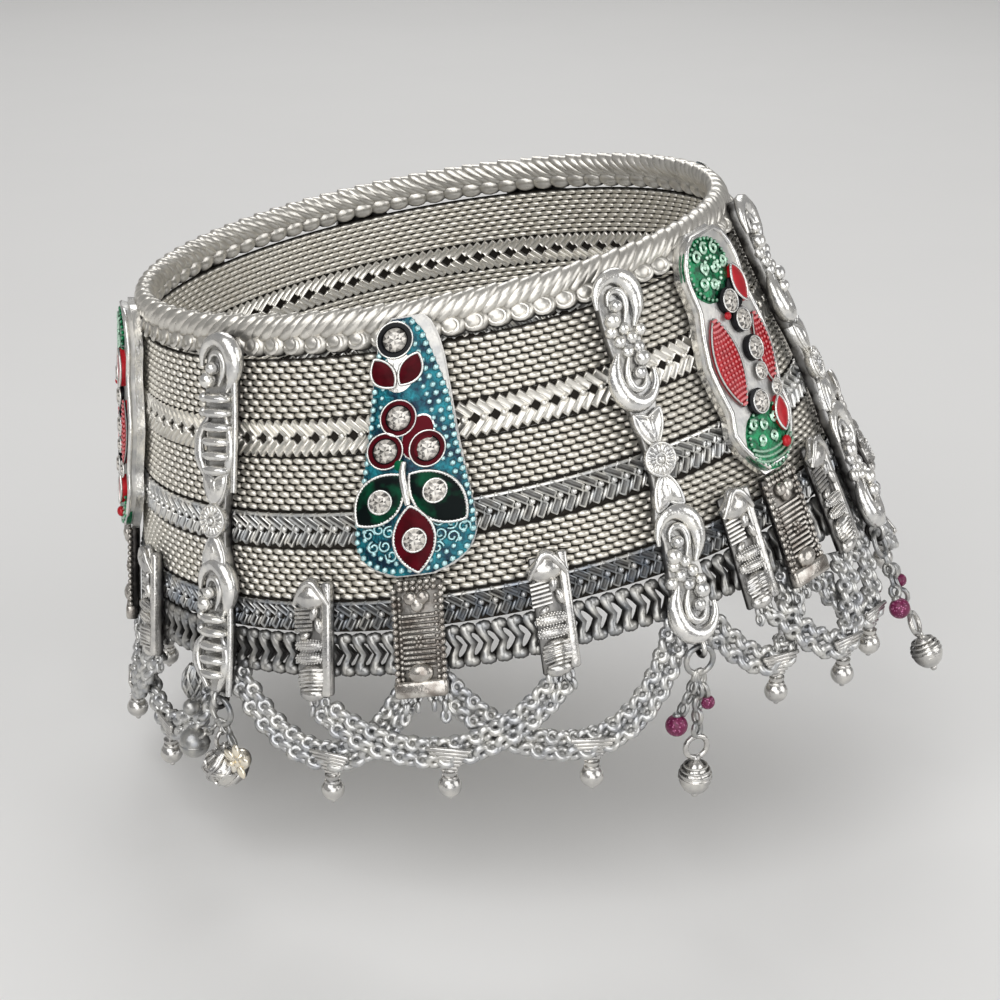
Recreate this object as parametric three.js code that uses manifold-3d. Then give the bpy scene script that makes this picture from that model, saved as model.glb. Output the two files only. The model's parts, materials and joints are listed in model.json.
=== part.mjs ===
// A broad silver payal: woven strips and wheat chains held by cast bars, enamelled plaques and
// cast links, with festoons of curb chain and small tassels under its lower edge.
// Millimetres, +Z up. The origin is the middle of the rim loop, on the ankle's axis. -Y is the front.
import * as THREE from "three";
import { mergeVertices } from "three/addons/utils/BufferGeometryUtils.js";
import Module from "manifold-3d";

const wasm = await Module();
wasm.setup();

// The loop: half sizes of the rim's ellipse, and how far each side spreads for each mm down the ankle
const rimHalfLength = 47;
const rimHalfWidth = 42;
const heelFlare = 0.205;
const instepFlare = 0.327;
const sideFlare = 0.22;
const frontFlare = 0.12;
const leanDegrees = 9.8;
const loopSteps = 36;

// The band's rows, each as its depth down the ankle, from the rim to the lower edge
const rimDepth = 6.1;
const meshUpperDepth = 8.3;
const chevronUpperDepth = 4.9;
const meshMiddleDepth = 7.5;
const chevronMiddleDepth = 4.8;
const meshLowerDepth = 7.2;
const chevronLowerDepth = 4.1;
const edgeDepth = 6.3;
const rowGap = 0.3;

// Thicknesses, and the clearance that seated pieces keep
const meshThickness = 1.3;
const chevronThickness = 2.2;
const rimThickness = 3.8;
const edgeThickness = 2;
const seatGap = 0.3;

// Plaques: length down the ankle, width, silver wall, enamel ground, and the stones in their cups
const plaqueTopInRim = 3.9;
const plaqueLength = 35.2;
const plaqueWidth = 17;
const plaqueHeight = 2.4;
const plaqueWall = 0.9;
const groundDrop = 0.5;
const cupRadius = 2.3;
const cupHeight = 1.1;
const stoneRadius = 1.65;
const stoneRise = 0.5;
const stoneTableShare = 0.6;
const smallStoneRadius = 1.5;
const smallCupWall = 0.25;
const petalHeight = 0.7;
const rootDepth = 0.6;

// Cast bars and the clasp
const barTopInRim = 2.8;
const barBelowEdge = 3.6;
const barWidth = 8.2;
const barHeight = 2.9;
const rosetteRadius = 2.2;
const rosetteRise = 0.5;
const barLoopRadius = 1.35;
const barLoopWire = 0.4;
const claspWidth = 11;
const claspHeight = 3.2;

// Cast links on the lower chains
const linkAboveEdge = 14.3;
const linkBelowEdge = 3.2;
const linkShares = [0.25, 0.48, 0.735]; // of each bay
const sideLinkWidth = 6.2;
const sideLinkHeight = 2.2;
const middleLinkWidth = 7.8;
const middleLinkHeight = 2.4;

// Festoons
const swagSag = 10.2;
const swagWidth = 4.8;
const swagThickness = 1.6;
const swagSteps = 8;
const swagEndGap = 0.4;
const swagInset = 3.2;
const swagLowShare = 0.545; // of its length, where it hangs lowest
const dropRadius = 1.8;
const dropLength = 6.2;

// Tassels
const jumpRingRadius = 2.2;
const ringWire = 0.5;
const strandLength = 10;
const strandRadius = 0.9;
const sideStrandLength = 8;
const sideStrandTurn = 22;
const beadRadius = 1.7;
const bellRingRadius = 1.5;
const bellRadius = 2.5;
const bellLength = 6.6;
const clusterStrandLength = 2.4;
const clusterSideLength = 3.4;
const clusterSideTurn = 44;
const clusterBallRadius = 2.2;
const clusterBellRadius = 3.1;
const clusterBellLength = 6.8;

// Stations round the ankle, in degrees from the front towards the instep.
// turnDegrees is how far a station line turns between the rim and the lower edge, and swingDegrees
// how far the tassel below a bar lies outwards, down the foot.
const bars = [
  { name: "left", atDegrees: -39.7, turnDegrees: -5.3, swingDegrees: 0, cluster: true },
  { name: "right", atDegrees: 31.4, turnDegrees: -3.8, swingDegrees: 0 },
  { name: "instep", atDegrees: 76, turnDegrees: -7, swingDegrees: 27 },
  { name: "back", atDegrees: 160, turnDegrees: 0, swingDegrees: 8 },
  { name: "heel", atDegrees: 236, turnDegrees: 4, swingDegrees: 0 },
];
const plaques = [
  { name: "front", atDegrees: -5, turnDegrees: -7, design: "teal" },
  { name: "instep", atDegrees: 53.3, turnDegrees: -8, design: "green" },
  { name: "back_instep", atDegrees: 117, turnDegrees: -4, design: "teal" },
  { name: "back_heel", atDegrees: 198, turnDegrees: 2, design: "teal" },
  { name: "heel", atDegrees: 282, turnDegrees: 0, design: "green" },
];
const claspStation = "back";

const silver = new THREE.MeshStandardMaterial({ color: 0xdedbd4, metalness: 1, roughness: 0.28 });
const darkSilver = new THREE.MeshStandardMaterial({ color: 0xb9b7b2, metalness: 1, roughness: 0.4 });
const teal = new THREE.MeshStandardMaterial({ color: 0x0f7f9c, metalness: 0.3, roughness: 0.25 });
const green = new THREE.MeshStandardMaterial({ color: 0x0a7a3c, metalness: 0.3, roughness: 0.25 });

const payal = new THREE.Group();
const radians = THREE.MathUtils.degToRad;
const lerp = THREE.MathUtils.lerp;

const rowDepths = [rimDepth, meshUpperDepth, chevronUpperDepth, meshMiddleDepth, chevronMiddleDepth,
  meshLowerDepth, chevronLowerDepth, edgeDepth];
const bandDepth = rowDepths.reduce((sum, depth) => sum + depth) + rowGap * (rowDepths.length - 1);
const frontFace = chevronThickness / 2 + seatGap;
const plaqueBottom = rimDepth - plaqueTopInRim + plaqueLength;

// The point of the band's middle surface at an angle round the ankle and a depth below the rim
function ellipsePoint(degrees, depth) {
  const angle = radians(degrees);
  const sine = Math.sin(angle);
  const halfLength = rimHalfLength + (sine < 0 ? heelFlare : instepFlare) * depth;
  const halfWidth = rimHalfWidth + sideFlare * depth;
  const forward = halfWidth * Math.cos(angle) + frontFlare * depth;
  const point = new THREE.Vector3(halfLength * sine, -forward, -depth);
  return point.applyAxisAngle(new THREE.Vector3(0, 1, 0), -radians(leanDegrees));
}

// The same point moved out of the surface, with the directions that a piece seated there follows
function bandFrame(degrees, depth, out) {
  const step = 0.01;
  const across = ellipsePoint(degrees + step, depth).sub(ellipsePoint(degrees - step, depth));
  const arcPerDegree = across.length() / (2 * step);
  across.normalize();
  const down = ellipsePoint(degrees, depth + step).sub(ellipsePoint(degrees, depth - step)).normalize();
  const outward = new THREE.Vector3().crossVectors(down, across).normalize();
  const point = ellipsePoint(degrees, depth).addScaledVector(outward, out);
  return { point, across, outward, up: new THREE.Vector3().crossVectors(outward, across), arcPerDegree };
}

// A point beside a station line: across it, down the ankle and out of the band
function stationFrame(station, across, depth, out) {
  const line = station.atDegrees + station.turnDegrees * (depth / bandDepth - 0.5);
  const degrees = line + across / bandFrame(line, depth, 0).arcPerDegree;
  return bandFrame(degrees, depth, out);
}

// Places a shape modelled with +Z out of the band and +Y up the ankle
function seatShape(geometry, frame, spin = 0) {
  const basis = new THREE.Matrix4().makeBasis(frame.across, frame.up, frame.outward);
  basis.setPosition(frame.point);
  return geometry.rotateZ(spin).applyMatrix4(basis);
}

// A closed surface from rings of points: each ring is joined to the next, and the ends are capped
function stackRings(rings, joinEnds) {
  const sides = rings[0].length;
  const positions = rings.flat().flatMap((point) => point.toArray());
  const index = [];
  const last = joinEnds ? rings.length : rings.length - 1;
  for (let i = 0; i < last; i++) {
    for (let j = 0; j < sides; j++) {
      const a = i * sides + j;
      const b = i * sides + ((j + 1) % sides);
      const c = ((i + 1) % rings.length) * sides + j;
      const d = ((i + 1) % rings.length) * sides + ((j + 1) % sides);
      index.push(a, c, b, b, c, d);
    }
  }
  if (!joinEnds) {
    const end = (rings.length - 1) * sides;
    for (let j = 1; j < sides - 1; j++) {
      index.push(0, j, j + 1);
      index.push(end, end + j + 1, end + j);
    }
  }
  const geometry = new THREE.BufferGeometry();
  geometry.setAttribute("position", new THREE.Float32BufferAttribute(positions, 3));
  return geometry.setIndex(index);
}

// A geometry as a solid that can be joined or cut
function solid(geometry) {
  const bare = geometry.index ? geometry.toNonIndexed() : geometry.clone();
  for (const name of Object.keys(bare.attributes)) {
    if (name !== "position") bare.deleteAttribute(name);
  }
  const merged = mergeVertices(bare, 1e-4);
  return new wasm.Manifold(new wasm.Mesh({
    numProp: 3,
    vertProperties: merged.attributes.position.array,
    triVerts: new Uint32Array(merged.index.array),
  }));
}

// Joins geometries that are soldered to each other
function solder(geometries) {
  const joined = geometries.map(solid).reduce((all, one) => all.add(one));
  const mesh = joined.getMesh();
  const geometry = new THREE.BufferGeometry();
  geometry.setAttribute("position", new THREE.Float32BufferAttribute(mesh.vertProperties, 3));
  return geometry.setIndex(new THREE.BufferAttribute(mesh.triVerts, 1));
}

function namedMesh(name, geometry, material) {
  const mesh = new THREE.Mesh(geometry, material);
  mesh.name = name;
  return mesh;
}

function addPiece(name, geometry, material) {
  payal.add(namedMesh(name, geometry, material));
}

// A row of the band: its section is a list of shares of its depth and thickness
function bandRow(name, top, depth, thickness, section, material) {
  const rings = [];
  for (let i = 0; i < loopSteps; i++) {
    const degrees = (-i * 360) / loopSteps;
    rings.push(section.map(([down, out]) =>
      bandFrame(degrees, top + down * depth, out * thickness / 2).point));
  }
  addPiece(name, stackRings(rings, true), material);
}

const flatSection = [[0, -1], [0, 1], [1, 1], [1, -1]];
const chevronSection = [[0, -0.7], [0, 0.45], [0.5, 1], [1, 0.45], [1, -0.7]];
const rimSection = [[0, -0.3], [0.06, 0.75], [0.2, 1], [0.34, 0.64], [0.6, 0.5], [1, 0.4], [1, -0.5],
  [0.3, -1]];
const edgeSection = [[0, -0.8], [0, 0.6], [0.45, 1], [1, 0.4], [1, -0.5]];

function makeBand() {
  const rows = [
    ["rim_chain", rimThickness, rimSection, silver],
    ["mesh_upper", meshThickness, flatSection, darkSilver],
    ["chevron_upper", chevronThickness, chevronSection, silver],
    ["mesh_middle", meshThickness, flatSection, darkSilver],
    ["chevron_middle", chevronThickness, chevronSection, silver],
    ["mesh_lower", meshThickness, flatSection, darkSilver],
    ["chevron_lower", chevronThickness, chevronSection, silver],
    ["edge_chain", edgeThickness, edgeSection, silver],
  ];
  let top = 0;
  rows.forEach(([name, thickness, section, material], i) => {
    bandRow(name, top, rowDepths[i], thickness, section, material);
    top += rowDepths[i] + rowGap;
  });
}

// A cast piece laid on the band. Each section is [share of length, share of width, share of height],
// and the profile gives [share of half width, share of height] from one side to the other.
function castRelief(station, piece, sections, profile, backShares = [1, -1]) {
  const rings = sections.map(([along, wide, high]) => {
    const depth = piece.top + along * piece.length;
    const half = (wide * piece.width) / 2;
    const front = profile.map(([side, rise]) =>
      stationFrame(station, side * half, depth, frontFace + rise * high * piece.height).point);
    const back = backShares.map((side) => stationFrame(station, side * half, depth, frontFace).point);
    return [...front, ...back];
  });
  return stackRings(rings, false);
}

const crowned = [[-1, 0.45], [-0.4, 1], [0.4, 1], [1, 0.45]];

const barHalfSections = [
  [0, 0.3, 0.3], [0.03, 0.8, 0.6], [0.09, 1, 1], [0.145, 0.75, 0.6], [0.19, 0.95, 0.85],
  [0.235, 0.7, 0.55], [0.3, 0.95, 0.9], [0.37, 0.9, 0.85], [0.4, 0.45, 0.4], [0.45, 0.75, 0.65],
];

// The middle of the loop under a bar, which stands square to the band and holds a tassel's ring
function loopFrame(station) {
  return stationFrame(station, 0, bandDepth + barBelowEdge + barLoopRadius - barLoopWire / 2,
    frontFace + barLoopWire);
}

function makeBars() {
  const mirrored = [...barHalfSections].reverse().map(([along, wide, high]) => [1 - along, wide, high]);
  const sections = [...barHalfSections, ...mirrored];
  for (const station of bars.filter((bar) => bar.name !== claspStation)) {
    const piece = { top: rimDepth - barTopInRim, width: barWidth, height: barHeight };
    piece.length = bandDepth + barBelowEdge - piece.top;
    const body = castRelief(station, piece, sections, crowned);
    const middle = stationFrame(station, 0, piece.top + piece.length / 2, frontFace);
    const rosette = new THREE.LatheGeometry([
      new THREE.Vector2(0, barHeight * 0.3),
      new THREE.Vector2(rosetteRadius, barHeight * 0.3),
      new THREE.Vector2(rosetteRadius, barHeight * 0.8),
      new THREE.Vector2(rosetteRadius * 0.55, barHeight + rosetteRise),
      new THREE.Vector2(0, barHeight + rosetteRise),
    ], 10).rotateX(Math.PI / 2);
    const loop = new THREE.TorusGeometry(barLoopRadius, barLoopWire, 5, 10).rotateY(Math.PI / 2);
    addPiece("bar_" + station.name, solder([
      body,
      seatShape(rosette, middle),
      seatShape(loop, loopFrame(station)),
    ]), silver);
  }
}

function makeClasp() {
  const station = bars.find((bar) => bar.name === claspStation);
  const piece = { top: rimDepth, width: claspWidth, height: claspHeight };
  piece.length = bandDepth + barBelowEdge - piece.top;
  const sections = [[0, 0.85, 0.8], [0.04, 1, 1], [0.5, 1, 1], [0.96, 1, 1], [1, 0.85, 0.8]];
  const loop = new THREE.TorusGeometry(barLoopRadius, barLoopWire, 5, 10).rotateY(Math.PI / 2);
  addPiece("clasp", solder([
    castRelief(station, piece, sections, crowned, [1, 0, -1]),
    seatShape(loop, loopFrame(station)),
  ]), silver);
}

// A cut stone in its cup: the crown has eight facets round a flat table
function cuppedStone(stone, cup) {
  const profile = [
    new THREE.Vector2(0, -rootDepth),
    new THREE.Vector2(cup, -rootDepth),
    new THREE.Vector2(cup, cupHeight),
    new THREE.Vector2(stone * stoneTableShare, cupHeight + stoneRise),
    new THREE.Vector2(0, cupHeight + stoneRise),
  ];
  return new THREE.LatheGeometry(profile, 8).rotateX(Math.PI / 2);
}

// A pointed petal, lying along +Y from its foot at the origin
function petalShape(length, width) {
  const shape = new THREE.Shape();
  shape.moveTo(0, 0);
  shape.quadraticCurveTo(width * 0.95, length * 0.45, 0, length);
  shape.quadraticCurveTo(-width * 0.95, length * 0.45, 0, 0);
  const petal = new THREE.ExtrudeGeometry(shape, {
    depth: petalHeight + rootDepth, bevelEnabled: false, curveSegments: 3,
  });
  return petal.translate(0, 0, -rootDepth);
}

// Where each plaque's stones and petals sit: [across, along] as shares of the plaque's half width and
// length. A petal also has its length and width, as shares of the plaque's, and its turn in degrees.
const designs = {
  teal: {
    outline: [[0, 0.26], [0.09, 0.48], [0.17, 0.55], [0.48, 0.73], [0.63, 0.86], [0.78, 0.98],
      [0.86, 1], [0.93, 0.88], [0.97, 0.66], [1, 0.32]],
    cups: [[-0.2, 0.085], [-0.19, 0.385], [-0.42, 0.506], [0.26, 0.515]],
    bareStones: [[-0.52, 0.7], [0.37, 0.68], [0.03, 0.86]],
    petals: [[-0.24, 0.264, 0.13, 0.14, 31], [-0.14, 0.259, 0.13, 0.14, -33], [-0.17, 0.605, 0.25, 0.36, 135],
      [-0.03, 0.605, 0.29, 0.35, -133], [0.09, 0.985, 0.26, 0.34, 7]],
  },
  green: {
    outline: [[0, 0.3], [0.04, 0.52], [0.17, 0.78], [0.3, 0.7], [0.41, 0.84], [0.52, 0.9], [0.72, 0.72],
      [0.81, 0.72], [0.93, 0.5], [1, 0.22]],
    cups: [[0.02, 0.313], [0.2, 0.404], [0.27, 0.52], [-0.04, 0.73]],
    bareStones: [[0.22, 0.622], [0.5, 0.715]],
    petals: [[-0.4, 0.715, 0.37, 0.3, 4], [0.5, 0.68, 0.27, 0.17, -3], [0.45, 0.345, 0.155, 0.14, 10],
      [0.34, 0.875, 0.12, 0.13, -10]],
  },
};

function makePlaques() {
  const wall = plaqueWall / (plaqueWidth / 2);
  const floor = 1 - groundDrop / plaqueHeight;
  const profile = [[-1, 0.35], [wall / 2 - 1, 1], [wall - 1, floor], [0, floor], [1 - wall, floor],
    [1 - wall / 2, 1], [1, 0.35]];
  const backShares = [1, 0.5, 0, -0.5, -1];
  for (const station of plaques) {
    const design = designs[station.design];
    const piece = {
      top: rimDepth - plaqueTopInRim, length: plaqueLength, width: plaqueWidth, height: plaqueHeight,
    };
    const sections = design.outline.map(([along, wide]) => [along, wide, 1]);
    const groundOut = frontFace + plaqueHeight - groundDrop;
    const place = (across, along) =>
      stationFrame(station, (across * plaqueWidth) / 2, piece.top + along * piece.length, groundOut);
    const parts = [castRelief(station, piece, sections, profile, backShares)];
    for (const [across, along] of design.cups) {
      parts.push(seatShape(cuppedStone(stoneRadius, cupRadius), place(across, along)));
    }
    for (const [across, along] of design.bareStones) {
      const stone = cuppedStone(smallStoneRadius, smallStoneRadius + smallCupWall);
      parts.push(seatShape(stone, place(across, along)));
    }
    for (const [across, along, length, width, turn] of design.petals) {
      const petal = petalShape(length * plaqueLength, width * plaqueWidth);
      parts.push(seatShape(petal, place(across, along), radians(turn)));
    }
    addPiece("plaque_" + station.name, solder(parts), station.design === "teal" ? teal : green);
  }
}

const sideLinkSections = [[0, 0.25, 0.3], [0.12, 0.9, 0.9], [0.34, 0.8, 0.7], [0.46, 1, 1],
  [0.62, 0.75, 0.7], [0.82, 1, 1], [1, 0.55, 0.5]];
const middleLinkSections = [[0, 0.6, 0.5], [0.1, 0.95, 0.9], [0.5, 1, 1], [0.9, 1, 1], [1, 0.8, 0.6]];
const linkCrown = [[-1, 0.5], [0, 1], [1, 0.5]];

// Each bay between two bars has three links, and three festoons that hang from them and from the bars.
// The middle link starts under the plaque, and the side links start higher up, on the lower chains.
// The festoons hang straight down from the lower edge.
function makeBays() {
  bars.forEach((bar, i) => {
    const next = bars[(i + 1) % bars.length];
    const endDegrees = next.atDegrees > bar.atDegrees ? next.atDegrees : next.atDegrees + 360;
    const stationAt = (share) => ({
      atDegrees: lerp(bar.atDegrees, endDegrees, share),
      turnDegrees: lerp(bar.turnDegrees, next.turnDegrees, share),
    });
    const [start, first, middle, last, end] = [0, ...linkShares, 1].map(stationAt);
    const hung = ({ atDegrees, turnDegrees }) => ({ atDegrees: atDegrees + turnDegrees / 2, turnDegrees: 0 });
    const bay = bar.name + "_bay";
    const side = {
      top: bandDepth - linkAboveEdge, width: sideLinkWidth, height: sideLinkHeight,
      sections: sideLinkSections,
    };
    const centre = {
      top: plaqueBottom + seatGap, width: middleLinkWidth, height: middleLinkHeight,
      sections: middleLinkSections,
    };
    makeLink("link_" + bay + "_1", first, side);
    makeLink("link_" + bay + "_2", middle, centre);
    makeLink("link_" + bay + "_3", last, side);
    makeSwag("swag_" + bay + "_1", hung(start), hung(middle), 0);
    makeSwag("swag_" + bay + "_2", hung(first), hung(last), 1);
    makeSwag("swag_" + bay + "_3", hung(middle), hung(end), 0);
  });
}

function makeLink(name, station, { top, width, height, sections }) {
  const piece = { top, length: bandDepth + linkBelowEdge - top, width, height };
  addPiece(name, castRelief(station, piece, sections, linkCrown), silver);
}

// A festoon of curb chains side by side, as one flat bundle, with a ball drop at its lowest point.
// layer 0 lies behind and ends under the edge chain; layer 1 lies in front and ends under its links.
function makeSwag(name, from, to, layer) {
  const out = layer * (swagThickness + seatGap);
  const endDepth = layer ? bandDepth + linkBelowEdge + swagEndGap : bandDepth + swagEndGap;
  const startDepth = endDepth + swagWidth / 2;
  const sag = bandDepth + linkBelowEdge + swagSag - startDepth;
  const frameAt = (share) => {
    const side = lerp(swagInset, -swagInset, share);
    const away = (share - swagLowShare) / (share < swagLowShare ? swagLowShare : 1 - swagLowShare);
    const station = { atDegrees: lerp(from.atDegrees, to.atDegrees, share), turnDegrees: 0 };
    return stationFrame(station, side, startDepth + sag * (1 - away * away), out);
  };
  const middle = [];
  for (let i = 0; i <= swagSteps; i++) middle.push(frameAt(i / swagSteps));
  const section = [[-1, -0.8], [-1, 0.4], [0, 1], [1, 0.4], [1, -0.8]];
  const rings = middle.map((frame, i) => {
    const before = middle[Math.max(i - 1, 0)].point;
    const after = middle[Math.min(i + 1, swagSteps)].point;
    const along = after.clone().sub(before).normalize();
    const wide = new THREE.Vector3().crossVectors(frame.outward, along).normalize();
    return section.map(([across, rise]) => frame.point.clone()
      .addScaledVector(wide, (across * swagWidth) / 2)
      .addScaledVector(frame.outward, (rise * swagThickness) / 2));
  });
  const lowest = frameAt(swagLowShare).point;
  const drop = dropGeometry().translate(lowest.x, lowest.y, lowest.z - swagWidth / 2);
  addPiece(name, solder([stackRings(rings, false), drop]), silver);
}

// A small ball on a tapered neck, hanging from the origin
function dropGeometry() {
  const middle = dropRadius - dropLength;
  return new THREE.LatheGeometry([
    new THREE.Vector2(0, -dropLength),
    new THREE.Vector2(dropRadius * 0.8, middle - dropRadius * 0.6),
    new THREE.Vector2(dropRadius, middle),
    new THREE.Vector2(dropRadius * 0.45, rootDepth),
    new THREE.Vector2(0, rootDepth),
  ], 10).rotateX(Math.PI / 2);
}

// A ring of round wire that hangs from the origin
function ringGeometry(radius) {
  return new THREE.TorusGeometry(radius, ringWire, 5, 10).translate(0, -radius, 0);
}

// A round body about the vertical, from its top at the origin. Each row is [share of radius, share of
// length], from the bottom up.
function turned(rows, radius, length, sides = 10) {
  const profile = rows.map(([wide, down]) => new THREE.Vector2(wide * radius, -down * length));
  return new THREE.LatheGeometry(profile, sides);
}

const ballRows = [[0, 1], [0.7, 0.86], [1, 0.5], [0.7, 0.14], [0, 0]];
const bellRows = [[0, 1], [0.75, 0.82], [1, 0.52], [0.7, 0.2], [0.3, 0], [0, 0]];
const strandRows = [[0, 1], [1, 1], [1, 0], [0, 0]];

// A tassel hangs on a jump ring through its bar's loop: chains with a bead or ball, and a bell on a ring
function makeTassels() {
  for (const bar of bars) {
    const seat = loopFrame(bar);
    const level = new THREE.Vector3(seat.outward.x, seat.outward.y, 0).normalize();
    const swing = radians(bar.swingDegrees);
    const up = new THREE.Vector3(0, 0, Math.cos(swing)).addScaledVector(level, -Math.sin(swing));
    const across = new THREE.Vector3().crossVectors(up, level).normalize();
    const outward = new THREE.Vector3().crossVectors(across, up);
    const hook = new THREE.Group();
    hook.position.copy(seat.point);
    hook.quaternion.setFromRotationMatrix(new THREE.Matrix4().makeBasis(across, up, outward));
    payal.add(hook);

    const ringBottom = -2 * jumpRingRadius;
    const length = bar.cluster ? clusterStrandLength : strandLength;
    const sideLength = bar.cluster ? clusterSideLength : sideStrandLength;
    const sideTurn = bar.cluster ? clusterSideTurn : sideStrandTurn;
    const sideRadius = bar.cluster ? clusterBallRadius : beadRadius;
    const side = solder([
      turned(strandRows, strandRadius, sideLength + ringWire, 6),
      turned(ballRows, sideRadius, 2 * sideRadius).translate(0, -sideLength, 0),
    ]).rotateZ(-radians(sideTurn));
    hook.add(namedMesh("tassel_" + bar.name + "_chain", solder([
      ringGeometry(jumpRingRadius),
      turned(strandRows, strandRadius, length + ringWire, 6).translate(0, ringBottom + ringWire, 0),
      side.translate(0, ringBottom + ringWire, 0),
    ]), silver));

    const bell = bar.cluster
      ? turned(bellRows, clusterBellRadius, clusterBellLength)
      : turned(bellRows, bellRadius, bellLength);
    const bellTop = ringBottom - length - seatGap;
    hook.add(namedMesh("tassel_" + bar.name + "_bell", solder([
      ringGeometry(bellRingRadius).translate(0, bellTop - ringWire, 0),
      bell.translate(0, bellTop - ringWire - 2 * bellRingRadius, 0),
    ]), silver));
  }
}

makeBand();
makeBars();
makeClasp();
makePlaques();
makeBays();
makeTassels();

export default payal;
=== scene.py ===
import json
import math

import bmesh
import bpy
import numpy as np
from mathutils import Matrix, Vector

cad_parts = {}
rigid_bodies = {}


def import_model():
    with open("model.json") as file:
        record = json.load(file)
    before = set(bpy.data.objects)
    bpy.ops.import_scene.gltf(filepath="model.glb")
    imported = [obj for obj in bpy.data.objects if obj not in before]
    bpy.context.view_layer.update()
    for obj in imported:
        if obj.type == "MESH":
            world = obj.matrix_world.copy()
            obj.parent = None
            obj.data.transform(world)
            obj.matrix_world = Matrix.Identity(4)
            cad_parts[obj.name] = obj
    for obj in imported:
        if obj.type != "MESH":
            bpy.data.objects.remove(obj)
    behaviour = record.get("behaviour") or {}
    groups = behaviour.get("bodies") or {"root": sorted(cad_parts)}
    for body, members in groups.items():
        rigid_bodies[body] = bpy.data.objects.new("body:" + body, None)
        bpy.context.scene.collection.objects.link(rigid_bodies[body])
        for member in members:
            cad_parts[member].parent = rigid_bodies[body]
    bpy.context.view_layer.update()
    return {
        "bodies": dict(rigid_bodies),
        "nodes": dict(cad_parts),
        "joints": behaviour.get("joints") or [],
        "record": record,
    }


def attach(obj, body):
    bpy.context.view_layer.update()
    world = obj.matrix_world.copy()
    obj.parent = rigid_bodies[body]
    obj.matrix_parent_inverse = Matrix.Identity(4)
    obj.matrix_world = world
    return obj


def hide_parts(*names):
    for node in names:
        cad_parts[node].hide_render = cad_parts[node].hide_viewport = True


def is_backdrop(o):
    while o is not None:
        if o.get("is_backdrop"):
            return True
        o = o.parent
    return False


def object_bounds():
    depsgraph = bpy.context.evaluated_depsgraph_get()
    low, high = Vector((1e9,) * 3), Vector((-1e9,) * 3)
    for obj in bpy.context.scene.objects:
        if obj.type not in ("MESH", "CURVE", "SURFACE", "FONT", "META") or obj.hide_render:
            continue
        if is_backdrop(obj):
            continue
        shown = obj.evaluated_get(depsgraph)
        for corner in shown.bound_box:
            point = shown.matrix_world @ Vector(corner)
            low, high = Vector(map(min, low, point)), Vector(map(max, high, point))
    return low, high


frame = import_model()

# The silver anklet: woven strips and link chains round the leg, with cast bars, enamelled plaques,
# chain festoons and bell tassels on them. Each small form is modelled flat in millimetres, x along
# the band, y up and z outwards, and then laid on the band in metres.

mm = 0.001

band = {
    "rimHalfLength": 47,
    "rimHalfWidth": 42,
    "heelFlare": 0.205,
    "instepFlare": 0.327,
    "sideFlare": 0.22,
    "frontFlare": 0.12,
    "leanDegrees": 9.8,
    "depth": 51.3,
    "face": 1.4,  # where bars, plaques and links sit, out from the middle of the strips
    "rowGap": 0.3,
    "seamDegrees": 160,  # rows close under the clasp
}

stations = {
    "left": {"at": -39.7, "turn": -5.3},
    "right": {"at": 31.4, "turn": -3.8},
    "instep": {"at": 76, "turn": -7},
    "back": {"at": 160, "turn": 0},
    "heel": {"at": 236, "turn": 4},
}


# hand tools: selecting, adding and shaping

def deselect():
    if bpy.context.object and bpy.context.object.mode != "OBJECT":
        bpy.ops.object.mode_set(mode="OBJECT")
    bpy.ops.object.select_all(action="DESELECT")


def choose(*pieces):
    deselect()
    for piece in pieces:
        piece.select_set(True)
    bpy.context.view_layer.objects.active = pieces[0]
    return pieces[0]


def settle(piece=None):
    # writes the object's place, turn and size into its mesh
    choose(piece or bpy.context.object)
    bpy.ops.object.transform_apply(location=True, rotation=True, scale=True)
    return bpy.context.object


def turned(degrees):
    return tuple(math.radians(angle) for angle in degrees)


def ball(place, size, turn=(0, 0, 0), segments=10, rings=6):
    deselect()
    bpy.ops.mesh.primitive_uv_sphere_add(
        segments=segments, ring_count=rings, radius=0.5, location=place, rotation=turned(turn), scale=size)
    return settle()


def block(place, size, soften=0.0, steps=1):
    deselect()
    bpy.ops.mesh.primitive_cube_add(size=1, location=place, scale=size)
    made = settle()
    if soften:
        modify(made, "BEVEL", width=soften, segments=steps, limit_method="NONE")
    return made


def rod(place, radius, length, turn=(0, 0, 0), sides=12, soften=0.0, top=None):
    deselect()
    bpy.ops.mesh.primitive_cone_add(
        vertices=sides, radius1=radius, radius2=radius if top is None else top, depth=length,
        location=place, rotation=turned(turn))
    made = settle()
    if soften:
        modify(made, "BEVEL", width=soften, segments=1, limit_method="ANGLE", angle_limit=math.radians(40))
    return made


def ring(place, radius, wire, turn=(0, 0, 0), size=(1, 1, 1), steps=14, sides=6):
    deselect()
    bpy.ops.mesh.primitive_torus_add(
        major_radius=radius, minor_radius=wire, major_segments=steps, minor_segments=sides,
        location=place, rotation=turned(turn))
    bpy.context.object.scale = size
    return settle()


def modify(piece, kind, **settings):
    choose(piece)
    modifier = piece.modifiers.new(kind.title(), kind)
    for name, value in settings.items():
        setattr(modifier, name, value)
    bpy.ops.object.modifier_apply(modifier=modifier.name)
    return piece


def edit(piece):
    choose(piece)
    bpy.ops.object.mode_set(mode="EDIT")
    bpy.ops.mesh.select_all(action="DESELECT")


def finishEdit():
    bpy.ops.object.mode_set(mode="OBJECT")
    return bpy.context.object


def pickPoints(test):
    bpy.ops.mesh.select_mode(type="VERT")
    shape = bmesh.from_edit_mesh(bpy.context.object.data)
    for point in shape.verts:
        point.select_set(bool(test(point.co)))
    shape.select_flush_mode()
    bmesh.update_edit_mesh(bpy.context.object.data)


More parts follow.
